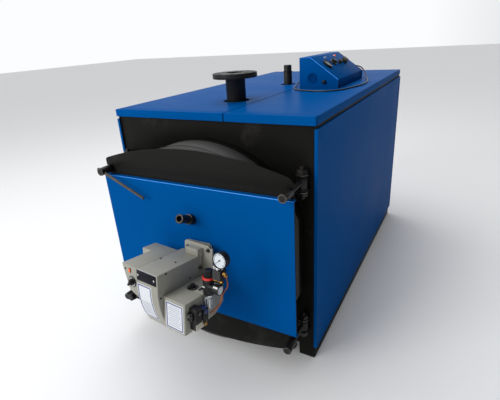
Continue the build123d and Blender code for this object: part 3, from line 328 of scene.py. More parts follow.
# Frame, base and front plate: hot-rolled steel in satin black, with scuffs, handling smudges and
# a grey bloom. The rails are channels, and the front plate is 6 mm with shallow dents.
black_paint = finish("black_paint", (0.0075, 0.0072, 0.0062), 0.5, shade=0.7, patch=3.2, grain=260,
                     depth=0.03, wave=(0.005, 5.5), stain=((0.02, 0.019, 0.017), 0.55, 4.5),
                     spread=0.25, specular=0.06)
base_paint = finish("base_paint", (0.0085, 0.0085, 0.0085), 0.55, shade=0.7, patch=8, grain=300,
                    depth=0.05, stain=((0.03, 0.027, 0.023), 0.62, 14), specular=0.12)


def finished_copy(node, coat, edge, segments=2, crease=32):
    """Stands for a CAD node: a merged copy of its mesh with its sharp edges broken."""
    bm = bmesh.new()
    bm.from_mesh(frame["nodes"][node].data)
    bmesh.ops.remove_doubles(bm, verts=bm.verts[:], dist=1e-6)
    bmesh.ops.dissolve_limit(
        bm, angle_limit=radians(0.6), verts=bm.verts[:], edges=bm.edges[:], use_dissolve_boundaries=False
    )
    sharp = [e for e in bm.edges if len(e.link_faces) == 2 and e.calc_face_angle(0) > radians(34)]
    bmesh.ops.bevel(
        bm, geom=sharp, offset=edge * MM, segments=segments, affect="EDGES", profile=0.5, clamp_overlap=True
    )
    piece = show(node + "_finished", bm, coat, frame["nodes"][node]["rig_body"], crease)
    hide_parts(node)


def dress(node, coat):
    """Gives a CAD node that shows as it is its finish."""
    cad = frame["nodes"][node]
    cad.data.materials.clear()
    cad.data.materials.append(coat)


for name in ("base_rail_left", "base_rail_right"):
    finished_copy(name, base_paint, 2.5)
finished_copy("base_cross_members", base_paint, 2)
finished_copy("front_plate", black_paint, 1)
belt_corner = Matrix.Diagonal((0.0066, 0.003, 0.024, 1))
bm = bmesh.new()
for side in (-1, 1):
    place = Matrix.Translation((side * 0.4692, -0.8322, 1.04))
    bmesh.ops.create_cube(bm, size=1, matrix=place @ belt_corner)
show("belt_corners", bm, black_paint, "boiler")
dress("casing_frame", black_paint)
finished_copy("rear_panel", blue_coat, 0.6)

# Pressure vessel: mill-scale steel with soot near the furnace mouth, and rust on the tube plates.
# It shows only through the open door and the pipe openings.
vessel_steel = finish("vessel_steel", (0.09, 0.08, 0.072), 0.62, metallic=0.6, shade=0.6, patch=7,
                      grain=220, depth=0.06, stain=((0.16, 0.075, 0.035), 0.55, 11), spread=0.3)
soot_steel = finish("soot_steel", (0.03, 0.027, 0.025), 0.85, metallic=0.2, shade=0.5, patch=9,
                    grain=320, depth=0.08, stain=((0.1, 0.05, 0.028), 0.58, 16))
for name in ("boiler_drum", "drum_crown", "rear_tube_plate"):
    dress(name, vessel_steel)
dress("furnace_tube", soot_steel)
finished_copy("front_tube_plate", soot_steel, 0.8)
dress("smoke_tubes", vessel_steel)

# Door collar and door ring: rolled plate in dark grey, rubbed by the hands that paint it, with a
# weld where the ring meets the door plate. A rope seal fills the gap between the two rings.
ring_grey = finish("ring_grey", (0.06, 0.058, 0.056), 0.55, shade=0.78, patch=5, stretch=(1, 6, 1),
                   grain=240, depth=0.05, stain=((0.085, 0.083, 0.08), 0.58, 8), spread=0.2,
                   specular=0.2)
finished_copy("door_collar", black_paint, 1.2)
finished_copy("door_shell", ring_grey, 1, crease=40)
drum_z = 0.523
ring_radius, ring_flat = 0.451, 0.418
shell_front, shell_back = -0.962, -0.871


def ring_path(offset, depth, count):
    """Points round the door ring, which has straight flanks, this far off its outside."""
    points = []
    for i in range(count):
        angle = 2 * pi * i / count
        x, z = (ring_radius + offset) * cos(angle), (ring_radius + offset) * sin(angle)
        half = ring_flat + offset
        points.append((max(-half, min(half, x)), depth, drum_z + z))
    return points


def bridge(bm, rings, closed):
    """Joins rings of points by faces; a ring may be a single point."""
    steps = max(len(ring) for ring in rings)
    pairs = list(zip(rings, rings[1:]))
    if closed:
        pairs.append((rings[-1], rings[0]))
    for low, high in pairs:
        for k in range(steps):
            after = (k + 1) % steps
            if len(low) == 1:
                bm.faces.new((low[0], high[after], high[k]))
            elif len(high) == 1:
                bm.faces.new((low[k], low[after], high[0]))
            else:
                bm.faces.new((low[k], low[after], high[after], high[k]))


def tube_through(bm, points, radius, sides=10, closed=False, squash=(1, 1)):
    """Adds a tube along points to a bmesh."""
    rings = []
    count = len(points)
    up = Vector(UP)
    for i, point in enumerate(points):
        before = points[i - 1] if i > 0 or closed else points[i]
        after = points[(i + 1) % count] if i < count - 1 or closed else points[i]
        along = (Vector(after) - Vector(before)).normalized()
        side = along.cross(up)
        if side.length < 0.05:
            side = along.cross(Vector(BACK))
        side.normalize()
        lift = side.cross(along).normalized()
        ring = []
        for k in range(sides):
            turn = 2 * pi * k / sides
            offset = side * cos(turn) * squash[0] + lift * sin(turn) * squash[1]
            ring.append(bm.verts.new(Vector(point) + offset * radius * MM))
        rings.append(ring)
        up = lift
    bridge(bm, rings, closed)
    if not closed:
        bm.faces.new(rings[0])
        bm.faces.new(rings[-1])
    bmesh.ops.recalc_face_normals(bm, faces=bm.faces[:])


def prism(bm, outline, foot, across, up, depth, edge=0.0, segments=2):
    """Adds a plate: an outline in the plane of across and up, grown by depth along their normal."""
    across, up = Vector(across).normalized(), Vector(up).normalized()
    out = across.cross(up).normalized()
    near = [bm.verts.new(Vector(foot) + (across * x + up * y) * MM) for x, y in outline]
    far = [bm.verts.new(Vector(foot) + (across * x + up * y + out * depth) * MM) for x, y in outline]
    count = len(outline)
    made = [bm.faces.new(list(reversed(near))), bm.faces.new(far)]
    for k in range(count):
        made.append(bm.faces.new((near[k], near[(k + 1) % count], far[(k + 1) % count], far[k])))
    bmesh.ops.recalc_face_normals(bm, faces=made)
    if edge:
        edges = list({e for f in made for e in f.edges if e.calc_face_angle(0) > radians(20)})
        bmesh.ops.bevel(
            bm, geom=edges, offset=edge * MM, segments=segments, affect="EDGES", profile=0.5,
            clamp_overlap=True,
        )


def rectangle(width, height, corner=0.0, steps=5):
    """An outline round the origin, with rounded corners."""
    half_width, half_height = width / 2, height / 2
    if corner <= 0:
        return [(x * half_width, y * half_height) for x, y in ((-1, -1), (1, -1), (1, 1), (-1, 1))]
    points = []
    for x, y, start in ((1, -1, -90), (1, 1, 0), (-1, 1, 90), (-1, -1, 180)):
        for i in range(steps + 1):
            angle = radians(start + 90 * i / steps)
            points.append((
                x * (half_width - corner) + corner * cos(angle),
                y * (half_height - corner) + corner * sin(angle),
            ))
    return points


def hexagon(radius):
    """A hexagon outline."""
    return [(radius * cos(radians(60 * k)), radius * sin(radians(60 * k))) for k in range(6)]


seal_rope = finish("seal_rope", (0.3, 0.28, 0.24), 0.95, shade=0.6, patch=40, grain=900, depth=0.3,
                   specular=0.1)
built("door_seal", seal_rope,
      (tube_through, ring_path(-0.012, shell_back + 0.0012, 120), 3.5, 8, True, (1, 0.6)), slot="lining")

# Door: an 8 mm black plate with arched top and bottom, a refractory lining behind it and a blue
# pan over it. The plate is satin black with lighter smudges.
door_black = finish("door_black", (0.0088, 0.0088, 0.0078), 0.5, grain=300, depth=0.03,
                    wave=(0.004, 4), stain=((0.024, 0.023, 0.021), 0.56, 6), spread=0.2, specular=0.06)
lining_clay = finish("lining_clay", (0.42, 0.36, 0.28), 0.95, shade=0.7, patch=6, grain=120,
                     depth=0.4, stain=((0.07, 0.055, 0.045), 0.52, 4), specular=0.1)
finished_copy("door_plate", door_black, 1.2)
finished_copy("door_lining", lining_clay, 2)
crown_arc = [(448.5 * cos(radians(a)), 448.5 * sin(radians(a))) for a in range(52, 129, 2)]
keel_arc = [(x, -z) for x, z in reversed(crown_arc)]
built("ring_closing_plates", ring_grey, *[
    (prism, arc, (0, -0.9622, drum_z), RIGHT, UP, 1.2) for arc in (crown_arc, keel_arc)
], slot="door_grey")
cover_front = -0.993
cover_low, cover_high = (-0.451, cover_front, 0.240), (0.451, -0.970, 0.822)
burner_hole, sight_hole = ((0.028, 0.478), 0.061), ((0.006, 0.679), 0.01735)
bm = open_box(cover_low, cover_high, [(0, 1, 0), (1, 0, 0), (-1, 0, 0)], 0.004, 4)
sliced(bm, [(0, steps_between(-0.44, 0.44, 20)), (2, steps_between(0.246, 0.816, 14))])
for vert in bm.verts:
    if vert.co.y < cover_front + 0.0005:
        vert.co.y += 0.0004 * (1 + noise.noise(vert.co * 3.3))
cover = show("door_cover_sheet", bm, blue_coat)
thickened(cover, 0.003)
cut_out(cover, [((x, cover_front, z), BACK, radius, 0.012) for (x, z), radius in (burner_hole, sight_hole)])
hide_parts("door_cover")
# A bright blue rod along the pan's top fold: a painted highlight on the fold.
built("cover_fold_highlight", blue_edge_highlight,
      (tube_through, [(-0.449, -0.9906, 0.8204), (0.449, -0.9906, 0.8204)], 1.7, 8), slot="casing_blue")

# Door hardware: blackened studs, nuts, washers, eye bolts and welded brackets at four corners,
# and long round closing nuts with a cross hole. The steel shows spots of rust.
hardware_steel = finish("hardware_steel", (0.02, 0.018, 0.017), 0.34, metallic=0.6, shade=0.6,
                        patch=30, grain=400, depth=0.06, stain=((0.045, 0.024, 0.014), 0.62, 60),
                        spread=0.3, specular=0.3)
bar_rust = finish("bar_rust", (0.065, 0.058, 0.050), 0.5, metallic=0.7, shade=0.55, patch=45,
                  depth=0.08, stain=((0.05, 0.028, 0.018), 0.52, 70), spread=0.3)
finished_copy("hinge_brackets", black_paint, 1)
for name in ("hinge_bolts", "eye_bolts_left", "eye_bolts_right"):
    finished_copy(name, hardware_steel, 1.2)
for name in ("upper_left", "lower_left", "upper_right", "lower_right"):
    finished_copy("closing_nut_" + name, hardware_steel, 0.6)
finished_copy("tommy_bar", bar_rust, 1.2, 3)

# Water pipes on the lid: a DN80 pipe with its welding flange, and a DN40 nozzle with a cap,
# all in black primer. Weld beads run round the joints.
pipe_black = finish("pipe_black", (0.009, 0.009, 0.0085), 0.45, shade=0.65, patch=14, grain=320,
                    depth=0.05, stain=((0.022, 0.02, 0.018), 0.6, 26), spread=0.25, specular=0.2)
for name, edge in (("supply_pipe", 1.5), ("safety_nozzle", 0.8), ("return_pipe", 1.5)):
    finished_copy(name, pipe_black, edge, crease=40)
finished_copy("drain_nipple", hardware_steel, 1)


def tree_with_inputs(name, inputs):
    """A geometry tree with a geometry in and out, and the named inputs."""
    tree = bpy.data.node_groups.new(name, "GeometryNodeTree")
    tree.interface.new_socket("Geometry", in_out="INPUT", socket_type="NodeSocketGeometry")
    tree.interface.new_socket("Geometry", in_out="OUTPUT", socket_type="NodeSocketGeometry")
    for label, kind in inputs:
        tree.interface.new_socket(label, in_out="INPUT", socket_type="NodeSocket" + kind)
    return tree, shader_node(tree, "NodeGroupInput").outputs


def instanced(tree, source, shape):
    """Ends a tree: the shape on each point, turned to its facing, made real and coated."""
    facing = shader_node(
        tree, "GeometryNodeInputNamedAttribute", {"Name": "facing"}, data_type="FLOAT_VECTOR"
    ).outputs["Attribute"]
    turned_to = shader_node(tree, "FunctionNodeAlignRotationToVector", {"Vector": facing}, axis="Z")
    placed = shader_node(tree, "GeometryNodeInstanceOnPoints", {
        "Points": source["Geometry"], "Instance": shape, "Rotation": turned_to.outputs["Rotation"],
    })
    real = shader_node(tree, "GeometryNodeRealizeInstances", {"Geometry": placed.outputs["Instances"]})
    coated = shader_node(tree, "GeometryNodeSetMaterial", {
        "Geometry": real.outputs["Geometry"], "Material": source["Material"],
    })
    shader_node(tree, "NodeGroupOutput", {"Geometry": coated.outputs["Geometry"]})


def grown(name, places, tree, inputs, body, crease=32):
    """Runs a tree on points, each a position and a facing, and shows the result as a plain mesh."""
    mesh = bpy.data.meshes.new(name)
    mesh.from_pydata([tuple(position) for position, _ in places], [], [])
    facing = mesh.attributes.new("facing", "FLOAT_VECTOR", "POINT")
    for item, (_, direction) in zip(facing.data, places):
        item.vector = Vector(direction).normalized()
    cloud = bpy.data.objects.new(name, mesh)
    scene.collection.objects.link(cloud)
    growth = cloud.modifiers.new("growth", "NODES")
    growth.node_group = tree
    for socket in tree.interface.items_tree:
        if socket.in_out == "INPUT" and socket.name in inputs:
            growth[socket.identifier] = inputs[socket.name]
    settled(cloud)
    cloud.data.set_sharp_from_angle(angle=radians(crease))
    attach(cloud, body)


bead_tree, bead_in = tree_with_inputs("weld_beads", [("Bead radius", "Float"), ("Material", "Material")])
drop = shader_node(bead_tree, "GeometryNodeMeshUVSphere", {
    "Segments": 8, "Rings": 5, "Radius": bead_in["Bead radius"],
})
flat_drop = shader_node(bead_tree, "GeometryNodeTransform", {
    "Geometry": drop.outputs["Mesh"], "Scale": (1.0, 1.0, 0.5),
})
instanced(bead_tree, bead_in, flat_drop.outputs["Geometry"])


def weld(name, path, bead, coat, body):
    """A rippled weld bead along a closed path of points."""
    places = []
    for i, point in enumerate(path):
        along = Vector(path[(i + 1) % len(path)]) - Vector(path[i - 1])
        places.append((point, along))
    inputs = {"Bead radius": bead * MM, "Material": coat}
    grown(name, places, bead_tree, inputs, body, 60)


def circle(centre, radius, axis, count):
    """Points on a circle round an axis."""
    turn = Vector(axis).to_track_quat("Z", "Y")
    angles = [2 * pi * i / count for i in range(count)]
    return [Vector(centre) + turn @ Vector((radius * cos(a), radius * sin(a), 0)) for a in angles]


pipe_radius = 0.0455
for name, centre, axis in (("supply", (*supply_xy, 1.1795), UP), ("return", (0, 0.9325, 0.885), BACK)):
    path = circle(centre, pipe_radius, axis, 110)
    weld(name + "_flange_weld", path, 2.8, pipe_black, "boiler")
ring_foot = ring_path(0.0008, shell_front + 0.0015, 620)
weld("door_ring_weld", ring_foot, 2.6, ring_grey, "front_door")


def turned(bm, profile, foot, axis, steps=48, closed=False, ripple=0.0):
    """Adds a turned shape: profile is (radius, height) pairs along the axis from the foot.

    A ripple makes a rib of every four steps. The last ring of points is given back.
    """
    frame_of = Vector(axis).to_track_quat("Z", "Y")
    rings = []
    for radius, height in profile:
        ring = []
        for k in range(steps if radius > 1e-6 else 1):
            angle = 2 * pi * k / steps
            reach = radius * (1 + ripple * cos(pi * k / 2))
            offset = Vector((reach * cos(angle), reach * sin(angle), height)) * MM
            ring.append(bm.verts.new(Vector(foot) + frame_of @ offset))
        rings.append(ring)
    bridge(bm, rings, closed)
    bmesh.ops.recalc_face_normals(bm, faces=bm.faces[:])
    return rings[-1]


def turned_ring(bm, profile, foot, axis, steps=48):
    """Adds a turned ring: a shape whose profile closes on itself."""
    turned(bm, profile, foot, axis, steps, closed=True)


def thread(bm, radius, depth, pitch, length, foot, axis, steps=32):
    """Adds a threaded sleeve: a tube whose outside is a row of ridges."""
    profile = [(radius - 2 * depth, 0)]
    count = int(length / pitch)
    for i in range(count):
        profile += [(radius - depth, i * pitch), (radius, (i + 0.5) * pitch)]
    profile += [(radius - depth, count * pitch), (radius - 2 * depth, count * pitch)]
    turned_ring(bm, profile, foot, axis, steps)


stud_x, stud_y, nut_mouth_y = 0.428, -0.858, -1.035
door_corners = {"upper": 0.8465, "lower": 0.1995}
threads, rims = bmesh.new(), bmesh.new()
for x in (-stud_x, stud_x):
    for z in door_corners.values():
        for way, washer_at in ((-1, 0.037), (1, 0.027)):
            axis = Vector((0, 0, way))
            foot = Vector((x, stud_y, z)) + axis * washer_at
            thread(threads, 10.1, 0.7, 1.8, 9.8, foot + axis * 0.0202, axis)
            turned_ring(rims, [(22.6, 0), (23.9, 0.3), (23.9, 2.7), (22.6, 3)], foot, axis)
            turned(rims, [(0, 0), (8.8, 0), (8.8, 0.4), (7.5, 0.9), (0, 0.9)], foot + axis * 0.0298, axis, 24)
# Pale steel rings on the washers' edges, the stud ends and the closing nuts' mouths are painted highlights
# where those edges catch the light. The coil ferrules are of the same pale steel.
pale_steel_and_highlight = finish("pale_steel_and_highlight", (0.10, 0.093, 0.086), 0.35, metallic=0.8, shade=0.5, patch=90, depth=0.05)
show("highlight_rims", rims, pale_steel_and_highlight, "boiler", 24)
show("stud_threads", threads, hardware_steel, "boiler", 20)
for row, z in door_corners.items():
    for hand, x in (("left", -stud_x), ("right", stud_x)):
        built(f"closing_nut_rim_{row}_{hand}", pale_steel_and_highlight,
              (turned_ring, [(12.2, 0), (15.7, 0), (15.7, 0.4), (12.2, 0.4)], (x, nut_mouth_y, z), FRONT),
              body=f"closing_nut_{row}_{hand}", slot="bolt_steel", crease=24)
built("nozzle_thread", pipe_black,
      (thread, 24.4, 1.0, 2.3, 20, (*nozzle_xy, 1.127), UP, 48),
      (turned, [(21.8, 0), (25.6, 1), (25.6, 6), (21.8, 7)], (*nozzle_xy, 1.147), UP),
      body="boiler", slot="black_paint", crease=20)

# Sight tube: a one-inch pipe that comes out of a socket on the door and leans up toward the eye.
# It is blackened steel with spots of rust.
sight_steel = finish("sight_steel", (0.02, 0.018, 0.016), 0.36, metallic=0.6, shade=0.6, patch=40,
                     grain=400, depth=0.05, stain=((0.07, 0.045, 0.03), 0.6, 70))
finished_copy("sight_tube", sight_steel, 1, crease=40)

# Smoke box, flue outlet and rear fittings: heat-darkened steel, plain, as at the back of such a
# boiler. Hexagon screws with washers hold the rear panel.
for name in ("smoke_box", "smoke_box_cover"):
    dress(name, vessel_steel)
finished_copy("flue_outlet", vessel_steel, 0.6, crease=40)

screw_sizes = ("Washer radius", "Washer height", "Head radius", "Head height", "Crown radius", "Crown height")
screw_tree, screw_in = tree_with_inputs(
    "screws", [(label, "Float") for label in screw_sizes] + [("Sides", "Int"), ("Material", "Material")]
)


def screw_layer(sides, foot_radius, top_radius, height, lift=None):
    """One layer of a screw: a cone with its foot at a lift above the sheet."""
    cone = shader_node(screw_tree, "GeometryNodeMeshCone", {
        "Vertices": sides, "Radius Top": screw_in[top_radius], "Radius Bottom": screw_in[foot_radius],
        "Depth": screw_in[height],
    }).outputs["Mesh"]
    if lift is None:
        return cone
    lifted = shader_node(screw_tree, "ShaderNodeCombineXYZ", {"Z": lift}).outputs[0]
    return shader_node(screw_tree, "GeometryNodeTransform", {
        "Geometry": cone, "Translation": lifted,
    }).outputs["Geometry"]


head_top = shader_node(screw_tree, "ShaderNodeMath", {
    0: screw_in["Washer height"], 1: screw_in["Head height"],
}).outputs[0]
whole = shader_node(screw_tree, "GeometryNodeJoinGeometry")
for layer in (
    screw_layer(20, "Washer radius", "Washer radius", "Washer height"),
    screw_layer(screw_in["Sides"], "Head radius", "Head radius", "Head height", screw_in["Washer height"]),
    screw_layer(screw_in["Sides"], "Head radius", "Crown radius", "Crown height", head_top),
):
    screw_tree.links.new(layer, whole.inputs["Geometry"])
instanced(screw_tree, screw_in, whole.outputs["Geometry"])


def screws(name, places, sizes, sides, coat, body="front_door"):
    """Like screws on points: sizes are those of the washer, the head and its crown."""
    inputs = {label: size * MM for label, size in zip(screw_sizes, sizes)}
    inputs.update({"Sides": sides, "Material": coat})
    grown(name, places, screw_tree, inputs, body, 28)


blue_screw = finish("blue_screw", (0.002, 0.065, 0.24), 0.35, patch=80, depth=0.03, specular=0.3)
rear_xz = [(x, z) for x in (-0.445, 0.445) for z in (0.12, 0.35, 0.58, 0.81, 1.0)]
rear_xz += [(x, 1.02) for x in (-0.25, 0.25)]
screws("rear_panel_screws", [((x, panel_rear, z), BACK) for x, z in rear_xz],
       (8, 1.2, 5.5, 2.6, 4.2, 0.8), 6, blue_screw, "boiler")

# Control box: folded blue sheet with a sloped fascia and cheeks at both ends. A blanked knock-out
# and a cable gland are in its near end. A near-black strip in the seam of the lids beside it is
# painted shade for the deep seam.
finished_copy("control_box", blue_coat, 1.4)
box_left, box_right, box_near, box_far = 0.131, 0.336, -0.134, 0.346
box_top, slope_top_x, slope_foot_z = 1.231, 0.186, 1.121
deck = lid_top
cheek = [(x / MM, z / MM) for x, z in (
    (box_left, deck), (box_right, deck), (box_right + 0.0015, slope_foot_z + 0.002),
    (slope_top_x + 0.002, box_top + 0.0002), (box_left, box_top + 0.0002),
)]
mirrored_cheek = [(-x, z) for x, z in reversed(cheek)]
built("control_cheeks", blue_coat,
      (prism, cheek, (0, box_near, 0), RIGHT, UP, 1.8, 0.5),
      (prism, mirrored_cheek, (0, box_far, 0), (-1, 0, 0), UP, 1.8, 0.5),
      body="boiler", slot="casing_blue")
# Near black and nearly without reflection: painted shade for the deep seam between the lids.
seam_shade_black = finish("seam_shade_black", (0.002, 0.002, 0.003), 0.9, patch=40, specular=0.003)
built("lid_seam_shade_strip", seam_shade_black,
      (prism, rectangle(7, 26.5), (0.1, 0.843, 1.0625), RIGHT, UP, 1685.5),
      body="boiler", slot="black_paint")
# Bright blue rods along each cheek's top and sloped edge: painted highlights on those edges.
edge_y = box_near - 0.001
built("cheek_edge_highlights", blue_edge_highlight,
      (tube_through, [(slope_top_x + 0.003, edge_y, box_top - 0.0014),
                      (box_right, edge_y, slope_foot_z + 0.002)], 1.7, 8),
      (tube_through, [(box_left, edge_y, box_top - 0.0011),
                      (slope_top_x + 0.002, edge_y, box_top - 0.0011)], 1.3, 8),
      body="boiler", slot="casing_blue")
dark_blue = finish("dark_blue", (0.0, 0.04, 0.16), 0.5, patch=30, specular=0.003)
cheek_y = box_near - 0.0016
built("knock_out_blank", dark_blue,
      (turned, [(0, 0), (24.5, 0), (25.5, 0.6), (25.5, 1.6), (24.5, 2.2), (22.5, 1.4), (0, 1.4)],
       (0.201, cheek_y, 1.131), FRONT), body="boiler", slot="casing_blue")
# A thin black patch on the box's right side, at the near end of its lower lip: painted shade for the gap
# between cheek and lip.
built("control_lip_gap_shade", black_paint,
      (prism, rectangle(9, 34), (box_right, -0.126, 1.1005), BACK, UP, 0.8),
      body="boiler", slot="black_paint")
black_plastic = finish("black_plastic", (0.009, 0.009, 0.010), 0.4, patch=60, grain=900,
                       depth=0.04, spread=0.15, specular=0.25)
gland_place = (0.265, cheek_y, 1.112)
built("near_gland", black_plastic,
      (prism, hexagon(10.5), gland_place, RIGHT, UP, 6, 0.8),
      (turned, [(0, 5), (9.2, 5), (9.2, 11), (7.8, 14.5), (4.5, 16), (0, 16)], gland_place, FRONT, 24),
      body="boiler")

# Instruments on the fascia: a dial thermometer whose dark brownish face is a painted reflection,
# two knobs with skirts and pointers, a lidded limiter, and two lamps. They are screwed through
# the sheet.
slope_down = Vector((box_right - slope_top_x, 0, slope_foot_z - box_top)).normalized()
slope_along = Vector(BACK)
slope_out = slope_down.cross(slope_along).normalized()
fascia_lift = 0.002


def on_fascia(down, along, lift=0.0):
    """A point on the fascia: down the slope, along from the near end, and off it."""
    corner = Vector((slope_top_x, box_near, box_top)) + slope_out * fascia_lift
    return corner + (slope_down * down + slope_along * along + slope_out * lift) * MM


bright_metal = finish("bright_metal", (0.55, 0.55, 0.56), 0.22, metallic=1.0, shade=0.85, patch=50,
                      grain=600)
dial_white = finish("dial_white", (0.60, 0.65, 0.69), 0.5, shade=0.96, patch=20, grain=600, depth=0.01)
mark_black = finish("mark_black", (0.012, 0.012, 0.012), 0.5, shade=0.9, patch=60, grain=600, depth=0.01)
mark_white = finish("mark_white", (0.6, 0.6, 0.58), 0.5, shade=0.95, patch=60, grain=600, depth=0.01)


def glassy(name, colour, roughness, transmission, glow=0.0):
    """A clear or tinted finish with a faint unevenness."""
    made = finish(name, colour, roughness, shade=0.9, patch=30, grain=200, depth=0.005)
    shader = made.node_tree.nodes["Principled BSDF"]
    shader.inputs["Transmission Weight"].default_value = transmission
    shader.inputs["Emission Color"].default_value = (*colour, 1)
    shader.inputs["Emission Strength"].default_value = glow
    return made


lamp_orange = glassy("lamp_orange", (0.85, 0.12, 0.015), 0.2, 0.15, 0.25)
lamp_blue = glassy("lamp_blue", (0.12, 0.2, 0.42), 0.2, 0.2, 0.1)

mark_tree, mark_in = tree_with_inputs("dial_marks", [
    ("Length", "Float"), ("Width", "Float"), ("Thickness", "Float"), ("Material", "Material"),
])
mark_size = shader_node(mark_tree, "ShaderNodeCombineXYZ", {
    "X": mark_in["Width"], "Y": mark_in["Thickness"], "Z": mark_in["Length"],
})
mark_bar = shader_node(mark_tree, "GeometryNodeMeshCube", {"Size": mark_size.outputs[0]})
instanced(mark_tree, mark_in, mark_bar.outputs["Mesh"])


def dial_marks(name, centre, across, up, radius, length, width, count, start, sweep, coat,
               body="front_door", slot="black_plastic"):
    """Marks round a dial, with angles in degrees from across."""
    across, up = Vector(across).normalized(), Vector(up).normalized()
    places = []
    for i in range(count):
        angle = radians(start + sweep * i / (count - 1))
        out = across * cos(angle) + up * sin(angle)
        places.append((Vector(centre) + out * radius * MM, out))
    sizes = {"Length": length * MM, "Width": width * MM, "Thickness": width * MM, "Material": coat}
    grown(name, places, mark_tree, sizes, body)


def needle(bm, centre, across, up, angle, length, tail, width):
    """Adds a tapered needle with a hub, just off the face."""
    out = across.cross(up)
    along = across * cos(radians(angle)) + up * sin(radians(angle))
    foot = Vector(centre) + out * 0.2 * MM
    broad, thin = width / 2, width / 6
    outline = [(-tail, -broad), (length, -thin), (length, thin), (-tail, broad)]
    prism(bm, outline, foot, along, out.cross(along), 0.5)
    turned(bm, [(0, 0), (1.8 * broad, 0), (1.8 * broad, 1), (0, 1.4)], foot, out, 20)


def round_gauge(name, foot, across, up, radius, depth, face_back, dial, body="front_door"):
    """A gauge: a case with a rim and a face with marks; gives its case and its face's place."""
    out = across.cross(up)
    r, face_at = radius, depth - face_back
    case = built(name + "_case", black_plastic, (turned, [
        (0, 0), (r * 0.8, 0), (r * 0.93, 1), (r * 0.96, depth * 0.3), (r, depth * 0.34), (r, depth * 0.97),
        (r * 0.985, depth), (r * 0.93, depth), (r * 0.9, depth * 0.985), (r * 0.9, face_at), (0, face_at),
    ], foot, out, 56), body=body, crease=24)
    face = Vector(foot) + out * face_at * MM
    built(name + "_face", dial,
          (turned, [(0, 0.2), (r * 0.885, 0.2), (r * 0.885, 0.8), (0, 0.8)], face, out), body=body)
    marks_at = face + out * MM
    for label, sizes, count in (("_marks", (0.76, 0.09, 0.025), 31), ("_long_marks", (0.72, 0.17, 0.045), 7)):
        dial_marks(name + label, marks_at, across, up, *[r * size for size in sizes], count, -45, 270,
                   mark_black, body)
    return case, marks_at


# The thermometer's face is painted dark brownish grey: a painted reflection over the dial.
dial_reflection_grey = finish("dial_reflection_grey", (0.055, 0.045, 0.04), 0.3, patch=40, depth=0.01)
case, face_at = round_gauge(
    "thermometer", on_fascia(77, 85), slope_along, -slope_down, 28, 11, 2.5, dial_reflection_grey, "boiler")
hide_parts("control_instruments")
built("thermometer_needle", mark_white,
      (needle, face_at, slope_along, -slope_down, 200, 15, 5, 1.6), body="boiler")


def ribbed_knob(bm, foot, axis, radius, height, ribs, skirt, skirt_height):
    """Adds a knob: a skirt and a ribbed grip with a rounded top."""
    turned(bm, [
        (0, 0), (skirt, 0), (skirt, skirt_height * 0.6), (skirt * 0.92, skirt_height), (0, skirt_height),
    ], foot, axis, 40)
    top = turned(bm, [
        (radius, skirt_height), (radius, height * 0.88), (radius * 0.93, height * 0.97),
        (radius * 0.8, height),
    ], foot, axis, ribs * 4, ripple=0.045)
    bm.faces.new(top)
    bmesh.ops.recalc_face_normals(bm, faces=bm.faces[:])


thermostat, selector, limiter = (74, 194), (87, 272), (86, 358)
built("fascia_knobs", black_plastic,
      (ribbed_knob, on_fascia(*thermostat), slope_out, 15, 20, 20, 21, 6),
      (ribbed_knob, on_fascia(*selector), slope_out, 11, 20, 16, 14, 4), body="boiler", crease=24)
bm = bmesh.new()
for place, angle in ((thermostat, 60), (selector, 130)):
    pointer = slope_along * cos(radians(angle)) - slope_down * sin(radians(angle))
    foot = on_fascia(*place, 20.1) + pointer * 0.0055
    prism(bm, rectangle(8, 1.4), foot, pointer, slope_out.cross(pointer), 0.4)
show("knob_pointers", bm, mark_white, "boiler")
dial_marks("thermostat_scale", on_fascia(*thermostat, 6.1), slope_along, -slope_down, 18, 3, 0.9, 21,
           -60, 300, mark_white, "boiler")
dial_marks("knob_scale", on_fascia(*selector, 0.1), slope_along, -slope_down, 17, 3, 0.7, 13,
           -60, 300, mark_white, "boiler")
built("limiter", black_plastic,
      (prism, rectangle(34, 34, 4), on_fascia(*limiter), slope_down, slope_along, 16, 1.5), body="boiler")
lid_grey = finish("lid_grey", (0.05, 0.05, 0.042), 0.4, patch=40)
built("limiter_lid", lid_grey,
      (prism, rectangle(30, 30, 3), on_fascia(*limiter, 15), slope_down, slope_along, 11, 2, 3),
      body="boiler")
lamp_bezel = [(0, 0), (8.5, 0), (8.5, 2.2), (7.2, 3.2), (6.2, 3.2), (6.2, 1), (0, 1)]
lamp_dome = [(0, 1.2), (6, 1.2), (6, 6)]
lamp_dome += [(6 * cos(radians(a)), 6 + 5 * sin(radians(a))) for a in (20, 40, 60, 78)] + [(0, 11)]
for name, along, glass in (("near_lamp", 160, lamp_blue), ("far_lamp", 323, lamp_orange)):
    foot = on_fascia(30, along)
    built(name + "_bezel", bright_metal, (turned, lamp_bezel, foot, slope_out, 32), body="boiler")
    built(name + "_dome", glass, (turned, lamp_dome, foot, slope_out, 28), body="boiler")

